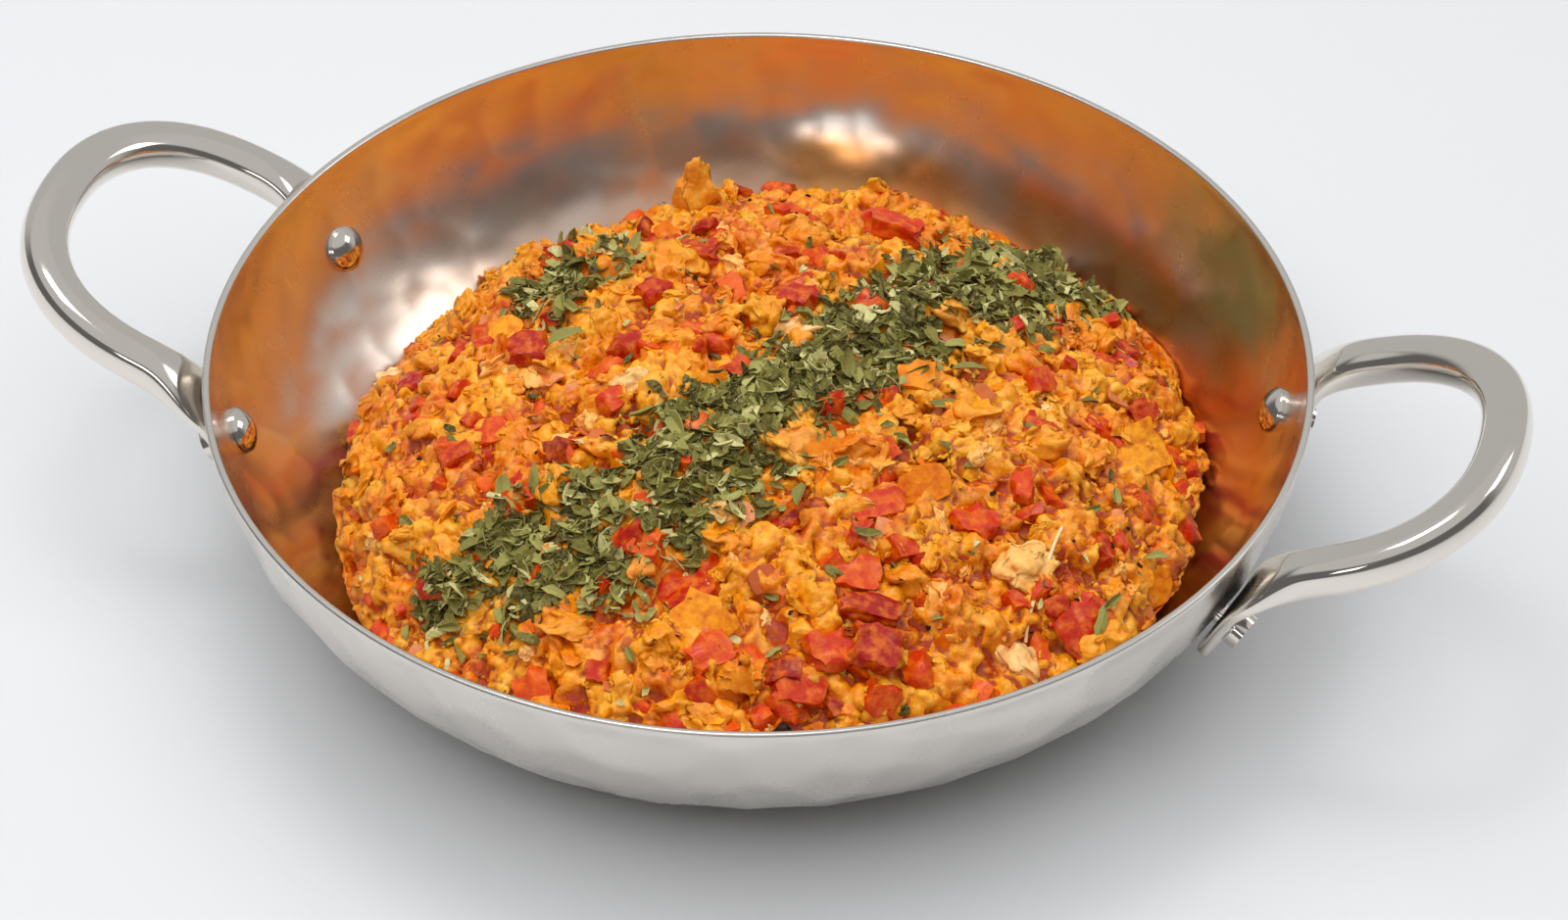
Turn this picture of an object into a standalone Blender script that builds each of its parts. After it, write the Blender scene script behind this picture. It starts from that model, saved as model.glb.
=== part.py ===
"""A two-handled hammered steel pan filled with a heap of scrambled-egg shakshuka.

Metres, +Z up. The origin is on the table under the middle of the pan, and the two
handles lie along X. Heights that are counted from the rim are named ..._BELOW_RIM.
"""

import math

import bmesh
import bpy
from mathutils import Matrix, Vector, noise

MM = 0.001

# The pan: a flat base, one round arc up to the rim, the same wall all over.
RIM_RADIUS = 120 * MM
BASE_RADIUS = 64 * MM
DEPTH = 53 * MM
WALL = 1.6 * MM
WALL_RUN = RIM_RADIUS - BASE_RADIUS
ARC_RADIUS = (WALL_RUN**2 + DEPTH**2) / (2 * DEPTH)
PAN_STEPS = 64
ARC_STEPS = 9

# The rivets, two to a handle, square to the wall.
RIVET_ANGLE = math.radians(17.2)
RIVET_BELOW_RIM = 20.4 * MM
SHANK_RADIUS = 2.2 * MM
HOLE_RADIUS = 2.5 * MM
HEAD_RADIUS = 5.25 * MM
HEAD_HEIGHT = 2.5 * MM
TAIL_RADIUS = 4.2 * MM
TAIL_FACE_RADIUS = 3.5 * MM
TAIL_HEIGHT = 2.4 * MM
RIVET_STEPS = 16
DOME_STEPS = 4
HEAD_GAP = 0.8 * MM

# The handles: a forged bar bent to a loop, flattened to a lug at each end.
GAP = 0.3 * MM
LUG_WIDTH = 16 * MM
LUG_THICKNESS = 3.5 * MM
LUG_BELOW_RIVET = 10 * MM
LUG_ABOVE_RIVET = 8 * MM
BAR_WIDTH = 10.8 * MM
BAR_HEIGHT = 9 * MM
BAR_SQUARENESS = 3.2
LOOP_START = 128 * MM
LOOP_REACH = 33 * MM
LOOP_HALF_WIDTH = 35.6 * MM
LOOP_SQUARENESS = 2.3
LOOP_SLOPE = 0.4
LOOP_START_BELOW_RIM = 3.3 * MM
BEND_PULL = 6 * MM
LOOP_STEPS = 10
BEND_STEPS = 5
SECTION_POINTS = 12

# The food: a mound that fills the pan's bottom and rises to about the rim.
FOOD_GAP = 0.7 * MM
FOOD_EDGE = 101.5 * MM
FOOD_EDGE_SHIFT = 2.5 * MM
FOOD_EDGE_SHIFT_ANGLE = math.radians(20)
FOOD_EDGE_STRETCH = 2.5 * MM
FOOD_PEAK = 51 * MM
FOOD_CUTS = 15
LUMP_SIZE = 17 * MM
LUMP_HEIGHT = 5 * MM
# The lumps that stand clear of the rest, and one hollow: x, y, radius, height.
LUMPS = (
    (-36 * MM, 84 * MM, 8 * MM, 9 * MM),
    (-82 * MM, -10 * MM, 14 * MM, 5 * MM),
    (-70 * MM, -52 * MM, 14 * MM, 5 * MM),
    (84 * MM, -12 * MM, 18 * MM, 5 * MM),
    (66 * MM, 62 * MM, 16 * MM, -4 * MM),
)


def start_empty():
    """Clear the scene and return the collections for the parts and the cutters."""
    for old in list(bpy.data.objects):
        bpy.data.objects.remove(old)
    parts = bpy.data.collections.new("shakshuka_pan")
    cutters = bpy.data.collections.new("cutters")
    for collection in (parts, cutters):
        bpy.context.scene.collection.children.link(collection)
    return parts, cutters


def principled(name, colour, roughness, metallic):
    """A plain material with its colour, roughness and metallic value."""
    material = bpy.data.materials.new(name)
    material.use_nodes = True
    shader = material.node_tree.nodes["Principled BSDF"]
    shader.inputs["Base Color"].default_value = (*colour, 1)
    shader.inputs["Roughness"].default_value = roughness
    shader.inputs["Metallic"].default_value = metallic
    material.diffuse_color = (*colour, 1)
    return material


def add_object(name, mesh, collection, material=None):
    """Wrap a mesh in a smooth-shaded object of that name."""
    placed = bpy.data.objects.new(name, mesh)
    collection.objects.link(placed)
    if material:
        mesh.materials.append(material)
    mesh.shade_smooth()
    mesh.set_sharp_from_angle(angle=math.radians(40))
    return placed


def turned(name, profile, steps, collection, material=None):
    """Turn a profile of (radius, height) points about Z with a Screw modifier."""
    mesh = bpy.data.meshes.new(name)
    points = [(radius, 0, height) for radius, height in profile]
    edges = [(index, index + 1) for index in range(len(points) - 1)]
    mesh.from_pydata(points, edges, [])
    piece = add_object(name, mesh, collection, material)
    screw = piece.modifiers.new("Screw", "SCREW")
    screw.steps = steps
    screw.render_steps = steps
    screw.use_merge_vertices = True
    screw.merge_threshold = 0.01 * MM
    screw.use_smooth_shade = True
    return piece


def wall_point(height, offset):
    """(radius, height) on the wall's outer arc at a height, moved out square to it."""
    rise = ARC_RADIUS - height
    run = math.sqrt(ARC_RADIUS**2 - rise**2)
    return (
        BASE_RADIUS + run * (1 + offset / ARC_RADIUS),
        height - rise * offset / ARC_RADIUS,
    )


def wall_lean(height):
    """How far the wall's outward normal dips below level at a height."""
    return math.asin((ARC_RADIUS - height) / ARC_RADIUS)


def arc_points(radius, top_height):
    """Points up a wall arc about the pan's arc centre, from its foot to a height."""
    end = math.acos((ARC_RADIUS - top_height) / radius)
    angles = [end * step / ARC_STEPS for step in range(ARC_STEPS + 1)]
    return [
        (BASE_RADIUS + radius * math.sin(angle), ARC_RADIUS - radius * math.cos(angle))
        for angle in angles
    ]


def make_pan(collection, material):
    """The shell, turned from one profile: floor, inner wall, rim, outer wall, base."""
    edge_round = 0.35 * MM
    inner = arc_points(ARC_RADIUS - WALL, DEPTH - edge_round)
    outer = arc_points(ARC_RADIUS, DEPTH - edge_round)
    inner_radius = inner[-1][0]
    outer_radius = outer[-1][0]
    rim = [(inner_radius + edge_round, DEPTH), (outer_radius - edge_round, DEPTH)]
    profile = [(0, WALL)] + inner + rim + outer[::-1] + [(0, 0)]
    return turned("pan", profile, PAN_STEPS, collection, material)


def rivet_frame(side, end):
    """The frame of one rivet: origin on the wall's outer face, Z along its axis."""
    height = DEPTH - RIVET_BELOW_RIM
    radius, _ = wall_point(height, 0)
    angle = end * RIVET_ANGLE if side > 0 else math.pi - end * RIVET_ANGLE
    out = Matrix.Rotation(math.pi / 2 + wall_lean(height), 4, "Y")
    place = Matrix.Translation((radius, 0, height))
    return Matrix.Rotation(angle, 4, "Z") @ place @ out


def make_rivet(name, frame, collection, material):
    """A rivet: domed head inside the pan, shank, flat tail outside the lug."""
    head_base = -(WALL + HEAD_GAP)
    tail_base = 2 * GAP + LUG_THICKNESS
    dome_radius = (HEAD_RADIUS**2 + HEAD_HEIGHT**2) / (2 * HEAD_HEIGHT)
    dome_half_angle = math.asin(HEAD_RADIUS / dome_radius)
    dome = []
    for step in range(DOME_STEPS + 1):
        angle = dome_half_angle * (1 - step / DOME_STEPS)
        height = dome_radius * (math.cos(angle) - math.cos(dome_half_angle))
        dome.append((dome_radius * math.sin(angle), head_base - height))
    tail_top = tail_base + TAIL_HEIGHT
    profile = [
        (0, tail_top),
        (TAIL_FACE_RADIUS, tail_top),
        (TAIL_RADIUS, tail_base + 0.4 * TAIL_HEIGHT),
        (TAIL_RADIUS, tail_base),
        (SHANK_RADIUS, tail_base),
        (SHANK_RADIUS, head_base),
        *dome,
    ]
    rivet = turned(name, profile, RIVET_STEPS, collection, material)
    rivet.matrix_world = frame
    return rivet


def make_hole_cutter(name, frame, collection):
    """A cylinder along a rivet's axis, through the wall and the lug."""
    mesh = bpy.data.meshes.new(name)
    form = bmesh.new()
    bmesh.ops.create_cone(
        form,
        cap_ends=True,
        segments=RIVET_STEPS,
        radius1=HOLE_RADIUS,
        radius2=HOLE_RADIUS,
        depth=24 * MM,
    )
    form.to_mesh(mesh)
    form.free()
    cutter = add_object(name, mesh, collection)
    cutter.matrix_world = frame
    cutter.hide_render = True
    cutter.display_type = "WIRE"
    return cutter


def cut(piece, cutter):
    """Take a cutter out of a piece with an exact Boolean."""
    boolean = piece.modifiers.new("Hole " + cutter.name, "BOOLEAN")
    boolean.operation = "DIFFERENCE"
    boolean.solver = "EXACT"
    boolean.object = cutter


def power(value, exponent):
    """A power that keeps its sign, for superellipses."""
    return math.copysign(abs(value) ** exponent, value)


def bezier(start, pull_start, pull_end, end, t):
    """A point on a cubic Bezier curve."""
    s = 1 - t
    return (
        s**3 * start + 3 * s * s * t * pull_start + 3 * s * t * t * pull_end + t**3 * end
    )


def lug_line(distance):
    """A point on the lug's middle line, a distance up from the rivet's axis."""
    height = DEPTH - RIVET_BELOW_RIM
    radius, base = wall_point(height, GAP + LUG_THICKNESS / 2)
    lean = wall_lean(height)
    radius += distance * math.sin(lean)
    base += distance * math.cos(lean)
    return Vector((radius * math.cos(RIVET_ANGLE), radius * math.sin(RIVET_ANGLE), base))


def loop_point(turn):
    """A point on the loop's middle line; turn runs from the bar's start to the tip."""
    along = power(math.sin(turn), 2 / LOOP_SQUARENESS)
    across = power(math.cos(turn), 2 / LOOP_SQUARENESS)
    reach = LOOP_REACH * along
    base = DEPTH - LOOP_START_BELOW_RIM + LOOP_SLOPE * reach
    return Vector((LOOP_START + reach, LOOP_HALF_WIDTH * across, base))


def half_route():
    """Stations from one lug's tip to the loop's tip: (point, width, height) each."""
    stations = []
    half = LUG_WIDTH / 2
    for share in (0.04, 0.16, 0.36, 0.64, 1.0):
        rest = 1 - share
        width = LUG_WIDTH * math.sqrt(1 - rest * rest)
        point = lug_line(half * share - LUG_BELOW_RIVET)
        stations.append((point, width, LUG_THICKNESS))
    lug_top = lug_line(LUG_ABOVE_RIVET)
    stations.append((lug_line(LUG_ABOVE_RIVET / 2), LUG_WIDTH, LUG_THICKNESS))
    lug_way = (lug_top - lug_line(0)).normalized()
    bar_start = loop_point(0)
    bar_way = Vector((1, 0, LOOP_SLOPE)).normalized()
    for step in range(BEND_STEPS):
        share = step / BEND_STEPS
        blend = share * share * (3 - 2 * share)
        point = bezier(
            lug_top,
            lug_top + BEND_PULL * lug_way,
            bar_start - BEND_PULL * bar_way,
            bar_start,
            share,
        )
        width = LUG_WIDTH + (BAR_WIDTH - LUG_WIDTH) * blend
        height = LUG_THICKNESS + (BAR_HEIGHT - LUG_THICKNESS) * blend
        stations.append((point, width, height))
    for step in range(LOOP_STEPS + 1):
        turn = math.pi / 2 * (step / LOOP_STEPS) ** 1.15
        stations.append((loop_point(turn), BAR_WIDTH, BAR_HEIGHT))
    return stations


def section_ring(form, point, way, up, width, height):
    """Add one cross-section's points to the mesh, square to the way."""
    side = up.cross(way).normalized()
    top = way.cross(side).normalized()
    ring = []
    for index in range(SECTION_POINTS):
        angle = 2 * math.pi * (index + 0.5) / SECTION_POINTS
        across = width / 2 * power(math.cos(angle), 2 / BAR_SQUARENESS)
        rise = height / 2 * power(math.sin(angle), 2 / BAR_SQUARENESS)
        ring.append(form.verts.new(point + across * side + rise * top))
    return ring


def make_handle(name, side, collection, material):
    """A handle: one loft from lug to lug, mirrored in Y and placed at +X or -X."""
    half = half_route()
    flipped = [(Vector((p.x, -p.y, p.z)), w, h) for p, w, h in half[-2::-1]]
    stations = half + flipped
    form = bmesh.new()
    rings = []
    for index, (point, width, height) in enumerate(stations):
        before = stations[max(index - 1, 0)][0]
        after = stations[min(index + 1, len(stations) - 1)][0]
        way = (after - before).normalized()
        tilt = LOOP_SLOPE if point.x > LOOP_START else 0
        up = Vector((-tilt, 0, 1)).normalized()
        rings.append(section_ring(form, point, way, up, width, height))
    for ring, following in zip(rings, rings[1:]):
        for index in range(SECTION_POINTS):
            beside = (index + 1) % SECTION_POINTS
            form.faces.new(
                (ring[index], ring[beside], following[beside], following[index])
            )
    form.faces.new(rings[0][::-1])
    form.faces.new(rings[-1])
    bmesh.ops.recalc_face_normals(form, faces=form.faces)
    mesh = bpy.data.meshes.new(name)
    form.to_mesh(mesh)
    form.free()
    handle = add_object(name, mesh, collection, material)
    if side < 0:
        handle.rotation_euler.z = math.pi
    return handle


def food_edge(angle):
    """The radius where the heap meets the wall: wider at the far side and the right."""
    shift = FOOD_EDGE_SHIFT * math.cos(angle - FOOD_EDGE_SHIFT_ANGLE)
    stretch = FOOD_EDGE_STRETCH * math.cos(2 * angle - math.pi)
    way = Vector((math.cos(angle), math.sin(angle), 0))
    ragged = 2.5 * MM * noise.noise(way * 4)
    return FOOD_EDGE + shift + stretch + ragged


def bowl_height(radius):
    """The height of the heap's underside at a radius, just inside the pan."""
    arc = ARC_RADIUS - WALL - FOOD_GAP
    run = max(radius - BASE_RADIUS, 0)
    return ARC_RADIUS - math.sqrt(arc**2 - run**2)


def heap_height(radius, angle):
    """The height of the heap's top: a mound, its lumps and a rough surface."""
    edge = food_edge(angle)
    share = min(radius / edge, 1)
    rim_line = bowl_height(edge)
    fullness = (1 - share**2.2) ** 0.8
    place = Vector((radius * math.cos(angle), radius * math.sin(angle), 0))
    top = rim_line + (FOOD_PEAK - rim_line) * fullness
    rough = noise.noise(place / LUMP_SIZE) + 0.5 * noise.noise(place * 2.1 / LUMP_SIZE)
    top += LUMP_HEIGHT * rough * min(1, 3 * (1 - share))
    for x, y, size, height in LUMPS:
        apart = (place - Vector((x, y, 0))).length / size
        top += height * math.exp(-apart * apart) * min(1, 8 * (1 - share))
    return top


def make_food(collection, material):
    """The heap: a ball whose lower half follows the pan and whose top is the mound."""
    form = bmesh.new()
    bmesh.ops.create_cube(form, size=2)
    bmesh.ops.subdivide_edges(
        form, edges=form.edges[:], cuts=FOOD_CUTS, use_grid_fill=True
    )
    for vertex in form.verts:
        way = vertex.co.normalized()
        angle = math.atan2(way.y, way.x)
        flat = math.hypot(way.x, way.y)
        share = math.atan2(flat, abs(way.z)) / (math.pi / 2)
        radius = food_edge(angle) * share
        on_top = way.z > -1e-6
        base = heap_height(radius, angle) if on_top else bowl_height(radius)
        vertex.co = (radius * math.cos(angle), radius * math.sin(angle), base)
    mesh = bpy.data.meshes.new("food")
    form.to_mesh(mesh)
    form.free()
    return add_object("food", mesh, collection, material)


def main():
    parts, cutters = start_empty()
    steel_pan = principled("hammered_steel", (0.72, 0.71, 0.70), 0.3, 1)
    steel_handle = principled("polished_steel", (0.76, 0.74, 0.71), 0.15, 1)
    egg_and_tomato = principled("egg_and_tomato", (0.78, 0.29, 0.05), 0.55, 0)
    pan = make_pan(parts, steel_pan)
    for side_name, side in (("left", -1), ("right", 1)):
        handle = make_handle("handle_" + side_name, side, parts, steel_handle)
        for end_name, end in (("front", -1), ("back", 1)):
            where = side_name + "_" + end_name
            frame = rivet_frame(side, end)
            make_rivet("rivet_" + where, frame, parts, steel_handle)
            cutter = make_hole_cutter("hole_" + where, frame, cutters)
            cut(pan, cutter)
            cut(handle, cutter)
    make_food(parts, egg_and_tomato)


main()
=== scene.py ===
# %% [markdown]
# # A pan of scrambled-egg shakshuka
# A light steel serving pan with two riveted loop handles, filled with a heap of
# soft egg curds, tomato, pepper and onion, under a band of dried herbs. The packed
# CAD model is the fixed frame. Every piece here is modelled around it, at its real
# size, in metres, and then rides on it.

# %% Load the fixed frame
import math

import bmesh
import bpy
import numpy as np
from mathutils import Matrix, Vector, noise
from mathutils.bvhtree import BVHTree


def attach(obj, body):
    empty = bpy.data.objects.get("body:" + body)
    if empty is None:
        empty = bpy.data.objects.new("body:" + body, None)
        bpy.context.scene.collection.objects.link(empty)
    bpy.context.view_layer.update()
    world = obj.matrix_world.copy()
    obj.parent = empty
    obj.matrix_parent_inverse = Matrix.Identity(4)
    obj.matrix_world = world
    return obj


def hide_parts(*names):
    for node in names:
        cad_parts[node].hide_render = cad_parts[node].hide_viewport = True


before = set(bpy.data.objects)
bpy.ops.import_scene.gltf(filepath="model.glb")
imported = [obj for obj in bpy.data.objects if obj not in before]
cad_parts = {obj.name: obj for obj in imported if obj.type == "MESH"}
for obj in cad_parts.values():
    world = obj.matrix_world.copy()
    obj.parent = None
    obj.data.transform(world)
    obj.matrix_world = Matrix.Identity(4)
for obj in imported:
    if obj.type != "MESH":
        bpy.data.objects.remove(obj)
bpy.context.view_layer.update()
MM = 0.001
# Both sources of chance are seeded. Without seed_set, noise_vector follows the clock.
chance = np.random.default_rng(12)
noise.seed_set(12)
print("frame loaded:", sorted(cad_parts))

# %% [markdown]
# ## Small helpers
# An operator acts on whatever is selected, and loading the frame leaves its nodes
# selected. So each step first selects nothing, then only its own piece. Vertices
# and faces are picked by where they are, the way you would box-select them.


# %% Selecting and applying
def select_only(piece):
    """Leave edit mode and make one piece the selected and active one."""
    if bpy.context.object and bpy.context.object.mode != "OBJECT":
        bpy.ops.object.mode_set(mode="OBJECT")
    bpy.ops.object.select_all(action="DESELECT")
    if piece:
        piece.select_set(True)
        bpy.context.view_layer.objects.active = piece
    return piece


def new_piece(name):
    """Name the primitive that was just added, and its mesh."""
    piece = bpy.context.object
    piece.name = name
    piece.data.name = name
    return piece


def pick(piece, test, kind="verts"):
    """In edit mode, select the vertices, edges or faces whose middle passes a test."""
    form = bmesh.from_edit_mesh(piece.data)
    for group in (form.verts, form.edges, form.faces):
        for element in group:
            element.select_set(False)
    for element in getattr(form, kind):
        if kind == "verts":
            place = element.co
        elif kind == "edges":
            place = (element.verts[0].co + element.verts[1].co) / 2
        else:
            place = element.calc_center_median()
        if test(place):
            element.select_set(True)
    bmesh.update_edit_mesh(piece.data)


def apply_modifier(piece, kind, **settings):
    """Add one modifier, set it and apply it straight away."""
    select_only(piece)
    bpy.ops.object.modifier_add(type=kind)
    modifier = piece.modifiers[-1]
    for setting, value in settings.items():
        setattr(modifier, setting, value)
    bpy.ops.object.modifier_apply(modifier=modifier.name)


def face_outwards(piece):
    """Merge doubles and turn every face to the outside."""
    select_only(piece)
    bpy.ops.object.mode_set(mode="EDIT")
    bpy.ops.mesh.select_all(action="SELECT")
    bpy.ops.mesh.remove_doubles(threshold=0.002 * MM)
    bpy.ops.mesh.normals_make_consistent(inside=False)
    bpy.ops.object.mode_set(mode="OBJECT")


def smooth(piece, angle=50):
    """Shade smooth, but keep edges that turn more than an angle in degrees."""
    select_only(piece)
    bpy.ops.object.shade_smooth_by_angle(angle=math.radians(angle))


def belongs(piece, slot, *nodes):
    """Tie a piece to the frame's one body and hide the nodes it replaces; slot is not used.
    """
    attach(piece, "root")
    if nodes:
        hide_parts(*nodes)
    triangles = sum(len(face.vertices) - 2 for face in piece.data.polygons)
    print(f"{piece.name}: {triangles} triangles")


# %% [markdown]
# ## Finishes
# Every finish is made of nodes on a Principled shader. Colours are given the way a
# painter reads them, 0 to 255, and turned into the linear light that Blender mixes.
# Patterns are read at each piece's own Object coordinates, in metres, so a noise
# scale is one over the size of the mark.


# %% Node helpers
def paint(red, green, blue):
    """A 0-255 screen colour as linear light with full alpha."""
    shares = (value / 255 for value in (red, green, blue))
    linear = [s / 12.92 if s < 0.04045 else ((s + 0.055) / 1.055) ** 2.4 for s in shares]
    return (*linear, 1)


def shader_of(finish):
    """The Principled shader that the whole finish feeds."""
    return finish.node_tree.nodes["Principled BSDF"]


def new_finish(name, **sockets):
    """A material whose Principled shader has its plain values set on its sockets."""
    finish = bpy.data.materials.new(name)
    finish.use_nodes = True
    shader = shader_of(finish)
    for socket, value in sockets.items():
        shader.inputs[socket.replace("_", " ")].default_value = value
    return finish


def add_node(finish, kind, **settings):
    """Add a node and set its properties; a socket is set through its input name."""
    node = finish.node_tree.nodes.new(kind)
    for setting, value in settings.items():
        if hasattr(node, setting):
            setattr(node, setting, value)
        else:
            node.inputs[setting.replace("_", " ")].default_value = value
    return node


def join(finish, source, target):
    """Wire one socket into another."""
    finish.node_tree.links.new(source, target)


def marks(finish, size, detail=2.0, stretch=(1, 1, 1), kind="ShaderNodeTexNoise"):
    """A noise of marks about this size in metres, on Object coordinates."""
    where = add_node(finish, "ShaderNodeTexCoord")
    mapping = add_node(finish, "ShaderNodeMapping")
    mapping.inputs["Scale"].default_value = stretch
    join(finish, where.outputs["Object"], mapping.inputs["Vector"])
    pattern = add_node(finish, kind, Scale=1 / size)
    if kind == "ShaderNodeTexNoise":
        pattern.inputs["Detail"].default_value = detail
    join(finish, mapping.outputs["Vector"], pattern.inputs["Vector"])
    return pattern.outputs[0]


def ramp(finish, source, *stops):
    """A colour ramp from (position, colour) stops."""
    node = add_node(finish, "ShaderNodeValToRGB")
    elements = node.color_ramp.elements
    while len(elements) < len(stops):
        elements.new(0.5)
    for element, (position, colour) in zip(elements, stops):
        element.position = position
        element.color = colour
    join(finish, source, node.inputs["Fac"])
    return node.outputs["Color"]


def grey(value):
    """A grey for ramps that drive roughness or a mask."""
    return (value, value, value, 1)


def blend(finish, share, first, second):
    """Mix two colour sockets by a share socket or number."""
    node = add_node(finish, "ShaderNodeMix", data_type="RGBA")
    if isinstance(share, (int, float)):
        node.inputs[0].default_value = share
    else:
        join(finish, share, node.inputs[0])
    for slot, colour in ((6, first), (7, second)):
        if isinstance(colour, tuple):
            node.inputs[slot].default_value = colour
        else:
            join(finish, colour, node.inputs[slot])
    return node.outputs[2]


def own_value(finish, name):
    """A number that the mesh itself carries, such as each copy's own tone."""
    return add_node(finish, "ShaderNodeAttribute", attribute_name=name).outputs["Fac"]


def colour_from(finish, source):
    """Let a pattern set the colour."""
    join(finish, source, shader_of(finish).inputs["Base Color"])


def roughness_from(finish, source):
    """Let a pattern set the roughness."""
    join(finish, source, shader_of(finish).inputs["Roughness"])


def relief_from(finish, source, depth, strength=1.0):
    """A bump of this depth in metres under the real geometry."""
    bump = add_node(finish, "ShaderNodeBump", Strength=strength, Distance=depth)
    join(finish, source, bump.inputs["Height"])
    join(finish, bump.outputs["Normal"], shader_of(finish).inputs["Normal"])


# %% [markdown]
# ## The pan
# The shell is spun sheet steel, the same thickness all over: a flat base and one
# round arc up to the rim. A lathe profile would do, but extruding a circle and
# scaling each new ring shows the idea just as well, and it lets the rings be close
# where the hammer marks need them. The first ring is the edge of the inside floor.

# %% Sizes of the shell
RIM_RADIUS = 120 * MM
BASE_RADIUS = 64 * MM
DEPTH = 53 * MM
WALL = 1.6 * MM
ARC_RADIUS = ((RIM_RADIUS - BASE_RADIUS) ** 2 + DEPTH**2) / (2 * DEPTH)
AROUND = 480
UP_THE_WALL = 46
EDGE_ROUND = 0.45 * MM


def arc_ring(arc, share):
    """(radius, height) of a ring a share of the way up an arc about the arc's centre."""
    top = math.acos((ARC_RADIUS - DEPTH + EDGE_ROUND) / arc)
    turn = top * share
    return BASE_RADIUS + arc * math.sin(turn), ARC_RADIUS - arc * math.cos(turn)


inside = [arc_ring(ARC_RADIUS - WALL, i / UP_THE_WALL) for i in range(UP_THE_WALL + 1)]
outside = [arc_ring(ARC_RADIUS, i / UP_THE_WALL) for i in range(UP_THE_WALL + 1)]
rim_in, rim_out = inside[-1][0], outside[-1][0]
lip = [
    (rim_in + 0.15 * EDGE_ROUND, DEPTH - 0.4 * EDGE_ROUND),
    (rim_in + EDGE_ROUND, DEPTH),
    (rim_out - EDGE_ROUND, DEPTH),
    (rim_out - 0.15 * EDGE_ROUND, DEPTH - 0.4 * EDGE_ROUND),
]
print(f"wall arc {ARC_RADIUS / MM:.1f} mm, {len(inside) * 2 + 4} rings")

# %% Extrude the shell ring by ring
select_only(None)
bpy.ops.mesh.primitive_circle_add(
    vertices=AROUND,
    radius=inside[0][0],
    fill_type="NOTHING",
    location=(0, 0, inside[0][1]),
)
pan = new_piece("pan_shell")
select_only(pan)
bpy.ops.object.transform_apply(location=True, rotation=True, scale=True)
bpy.ops.object.mode_set(mode="EDIT")
bpy.ops.mesh.select_all(action="SELECT")
radius, height = inside[0]
for next_radius, next_height in inside[1:] + lip + outside[::-1]:
    bpy.ops.mesh.extrude_edges_move(
        TRANSFORM_OT_translate={"value": (0, 0, next_height - height)}
    )
    grow = next_radius / radius
    bpy.ops.transform.resize(
        value=(grow, grow, 1), center_override=(0, 0, next_height)
    )
    radius, height = next_radius, next_height
bpy.ops.mesh.edge_face_add()
pick(
    pan,
    lambda p: abs(p.z - WALL) < 0.01 * WALL and p.xy.length < BASE_RADIUS + 0.1 * MM,
)
bpy.ops.mesh.edge_face_add()
face_outwards(pan)
print("pan:", len(pan.data.vertices), "points")

# %% [markdown]
# ## Hammer marks
# The wall was planished: light, even hammer blows leave shallow round dishes that
# meet in soft ridges. They only show where the polished steel bends a reflection,
# but they are real shape, so they belong in the mesh. A Displace modifier with a
# cell pattern presses each dish into the metal. The rim and base stay true, which
# is what the vertex groups are for.


# %% Press the dishes into the wall
def wall_depth(point):
    """How far a point of the shell is from the arc's centre: small inside, big outside."""
    return math.hypot(math.hypot(point.x, point.y) - BASE_RADIUS, ARC_RADIUS - point.z)


def fade(value, start, end):
    """0 at start, 1 at end, smooth between."""
    share = min(max((value - start) / (end - start), 0), 1)
    return share * share * (3 - 2 * share)


middle_of_wall = ARC_RADIUS - WALL / 2
for group_name, wanted in (("inner_wall", True), ("outer_wall", False)):
    group = pan.vertex_groups.new(name=group_name)
    for vertex in pan.data.vertices:
        if (wall_depth(vertex.co) < middle_of_wall) == wanted:
            weight = fade(DEPTH - vertex.co.z, 0.6 * MM, 4 * MM)
            weight *= fade(vertex.co.z, 0.5 * MM, 5 * MM)
            group.add([vertex.index], weight, "REPLACE")

for group_name, dish, press in (
    ("inner_wall", 11 * MM, 0.30 * MM),
    ("outer_wall", 13 * MM, 0.65 * MM),
):
    dishes = bpy.data.textures.new(group_name + "_dishes", "VORONOI")
    dishes.distance_metric = "DISTANCE_SQUARED"
    dishes.noise_scale = dish
    dishes.noise_intensity = 1.6
    apply_modifier(
        pan,
        "DISPLACE",
        texture=dishes,
        texture_coords="LOCAL",
        vertex_group=group_name,
        direction="NORMAL",
        mid_level=1.0,
        strength=press,
    )
smooth(pan, 60)
print("dishes pressed in:", len(pan.data.vertices), "points")

# %% [markdown]
# ## Steel finishes
# Inside, the wall is polished and mirrors the food in a soft, smeared way, so most
# of its colour is borrowed. Near the food a warm orange is also painted on, low on
# the wall and strongest at the back and right: a painted reflection of the food,
# which a point attribute carries. Outside it is satin. Both get faint cloudy patches
# of roughness from handling, and the satin also has a very fine grain.

# %% Paint the shell
pan_inside = new_finish(
    "pan_inside_polish", Base_Color=paint(238, 229, 218), Metallic=1.0, Roughness=0.27
)
# Painted reflection of the food: each point of the inside gets a share of warm orange, most
# low down near the food and at the back and right.
painted_food_reflection = pan.data.attributes.new("painted_food_reflection", "FLOAT", "POINT")
for vertex, value in zip(pan.data.vertices, painted_food_reflection.data):
    low = fade(34 * MM - vertex.co.z, 0, 9 * MM)
    toward_right = 0.35 + 0.65 * fade(vertex.co.x, -70 * MM, 0)
    toward_back = 0.2 + 0.8 * fade(vertex.co.y, 0, 70 * MM)
    cloudy = 1.0 + 0.6 * noise.noise(vertex.co / (16 * MM))
    value.value = min(max(low * toward_right * toward_back * cloudy, 0), 1)
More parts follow.
